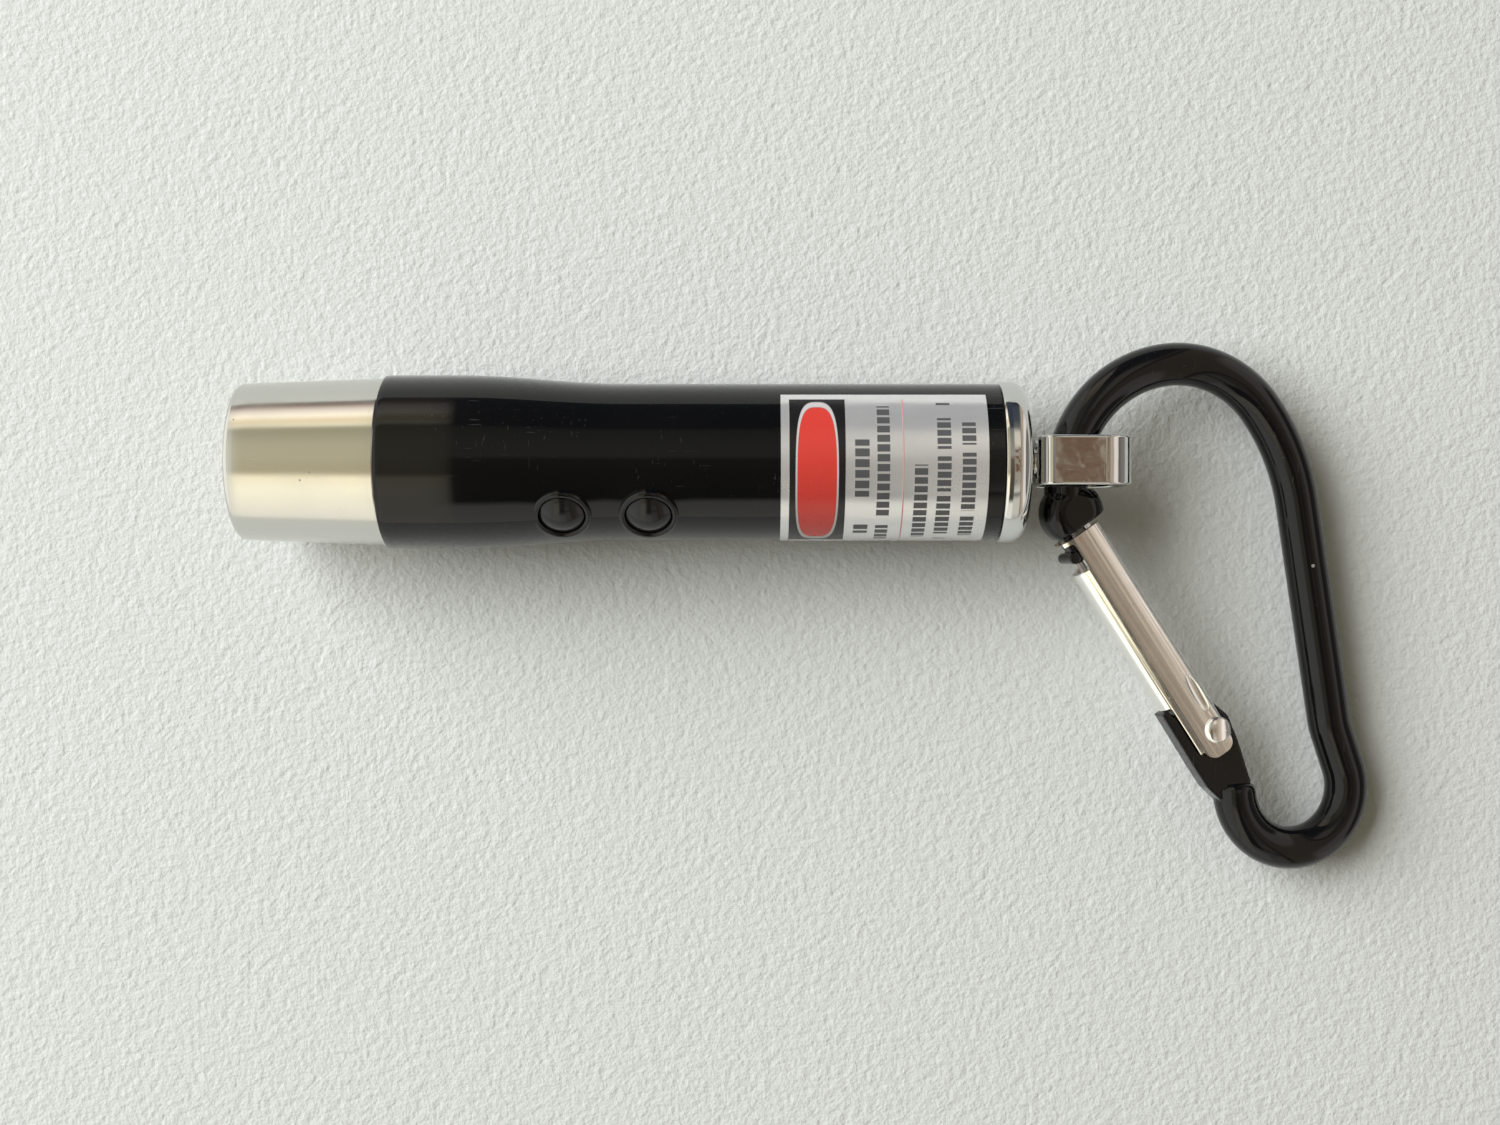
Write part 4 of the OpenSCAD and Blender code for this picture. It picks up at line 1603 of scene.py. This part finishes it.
@dataclass
class Studio:
    """The table, the light and the camera."""

    centre: tuple[float, float] = (0.04875, -0.00966)
    height: float = 0.1779
    lens: float = 44.4
    table_size: float = 1.6
    window_at: tuple[float, float, float] = (-0.97, 0.40, 0.69)
    window_size: float = 1.2
    window_power: float = 30.5
    window_colour: Colour = (0.98, 1.0, 1.0)

    def table(self) -> None:
        """Lays the pale table under the object."""
        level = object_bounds()[0].z
        Bench.clear()
        bpy.ops.mesh.primitive_plane_add(size=self.table_size, location=(*self.centre, level))
        top = Bench.settle(bpy.context.object)
        top.name = "Table"
        dress = Dress("Pale_table")
        w, place = dress.wiring, dress.place
        mottle = w.noise(place, 900.0, 4.0, 0.6)
        dress.feed("Base Color", w.mixed(mottle, (0.73, 0.745, 0.73), (0.79, 0.805, 0.79)))
        dress.shader.inputs["Roughness"].default_value = 0.6
        dress.shader.inputs["Specular IOR Level"].default_value = 0.3
        dress.bump(w.noise(place, 1500.0, 2.0), 0.00016)
        Wardrobe.put(top, dress.material)
        top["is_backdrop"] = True

    def sky(self) -> None:
        """Surrounds the scene with soft bands, as a plain room with side windows gives."""
        world = bpy.data.worlds.new("Soft_room")
        bpy.context.scene.world = world
        world.use_nodes = True
        w = Wiring(world.node_tree)
        back = world.node_tree.nodes["Background"]
        way = w.add("ShaderNodeSeparateXYZ", {0: w.add("ShaderNodeTexCoord").outputs["Generated"]})
        along = way.outputs[0]
        turn = w.maths("ARCTAN2", way.outputs[1], way.outputs[2])
        share = w.plus(w.maths("DIVIDE", turn, 2 * math.pi), 0.5)
        low, middle, high = (w.add("ShaderNodeValToRGB", {0: share}) for _ in range(3))
        self.bands(low, ROOM_AT_HEAD)
        self.bands(middle, ROOM_AT_TUBE)
        self.bands(high, ROOM_AT_TAIL)
        inner = w.mixed(w.spread(along, -0.175, -0.135), low.outputs[0], middle.outputs[0])
        outer = w.mixed(w.spread(along, 0.09, 0.15), inner, high.outputs[0])
        sides = w.add("ShaderNodeValToRGB", {0: w.plus(w.times(along, 0.5), 0.5)})
        self.stops(sides, ROOM_SIDES)
        reach = w.spread(w.maths("ABSOLUTE", w.minus(along, -0.04)), 0.38, 0.46)
        overhead = w.maths("LESS_THAN", w.maths("ABSOLUTE", turn), 0.3)
        beside = w.times(w.spread(along, 0.13, 0.16), overhead)
        shapes = w.spread(w.noise(w.add("ShaderNodeTexCoord").outputs["Generated"], 17.0, 2.0), 0.49, 0.53)
        outer = w.mixed(w.times(beside, shapes), outer, ROOM_BLOTCHES)
        room = w.mixed(reach, outer, sides.outputs[0])
        path = w.add("ShaderNodeLightPath")
        plain = w.mixed(path.outputs["Is Camera Ray"], ROOM_FILL, ROOM_SEEN)
        world.node_tree.links.new(w.mixed(path.outputs["Is Glossy Ray"], plain, room), back.inputs[0])

    @staticmethod
    def bands(ramp: Node, stops: Stops) -> None:
        """Sets a ramp's colours at angles from overhead, in degrees towards +Y."""
        Studio.stops(ramp, [(angle / 360 + 0.5, colour) for angle, colour in stops])

    @staticmethod
    def stops(ramp: Node, stops: Stops) -> None:
        """Sets a ramp's colours at places from 0 to 1.

        Args:
            ramp: the colour ramp.
            stops: the places and colours.
        """
        row = ramp.color_ramp
        while len(row.elements) < len(stops):
            row.elements.new(0.5)
        for element, (place, colour) in zip(row.elements, stops):
            element.position = place
            element.color = (*colour, 1)

    def window(self) -> None:
        """Hangs the one square soft light, which faces the object and casts its shadows."""
        Bench.clear()
        bpy.ops.object.light_add(type="AREA", location=self.window_at)
        light = bpy.context.object
        light.name = "Window"
        light.data.shape = "SQUARE"
        light.data.size = self.window_size
        light.data.energy = self.window_power
        light.data.color = self.window_colour
        light.visible_glossy = False
        aim = Vector((*self.centre, 0)) - Vector(self.window_at)
        light.rotation_mode = "QUATERNION"
        light.rotation_quaternion = aim.to_track_quat("-Z", "Y")

    def camera(self) -> None:
        """Looks straight down at the object."""
        data = bpy.data.cameras.new("Camera")
        data.lens = self.lens
        data.sensor_width = 36
        data.clip_start = 0.005
        data.clip_end = 10
        camera = bpy.data.objects.new("Camera", data)
        bpy.context.scene.collection.objects.link(camera)
        camera.location = (*self.centre, self.height)
        bpy.context.scene.camera = camera

    def build(self) -> None:
        """Sets the table, the light and the camera."""
        bpy.context.scene.view_settings.view_transform = "Standard"
        self.table()
        self.sky()
        self.window()
        self.camera()


def main() -> None:
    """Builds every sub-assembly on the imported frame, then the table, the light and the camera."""
    logging.basicConfig(level=logging.INFO, format="%(message)s")
    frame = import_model()
    joints = {joint["name"]: joint for joint in frame["joints"]}
    maker = Maker(Wardrobe())
    axis = -Vector(joints["laser_button_press"]["axis"]).normalized()
    places = [sum(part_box(f"{name}_button"), Vector()) / 2 for name in ("laser", "light")]
    lean = joints["gate_hinge"]["axis"]
    Head(maker).build()
    Tube(maker).build(places, axis)
    Buttons(maker).build(places, axis)
    Tail(maker).build()
    SnapClip(maker, Vector(joints["clip_swing"]["pos_m"]), math.atan2(-lean[0], -lean[2])).build()
    Inside(maker).build(frame)
    Studio().build()


if __name__ == "__main__":
    main()
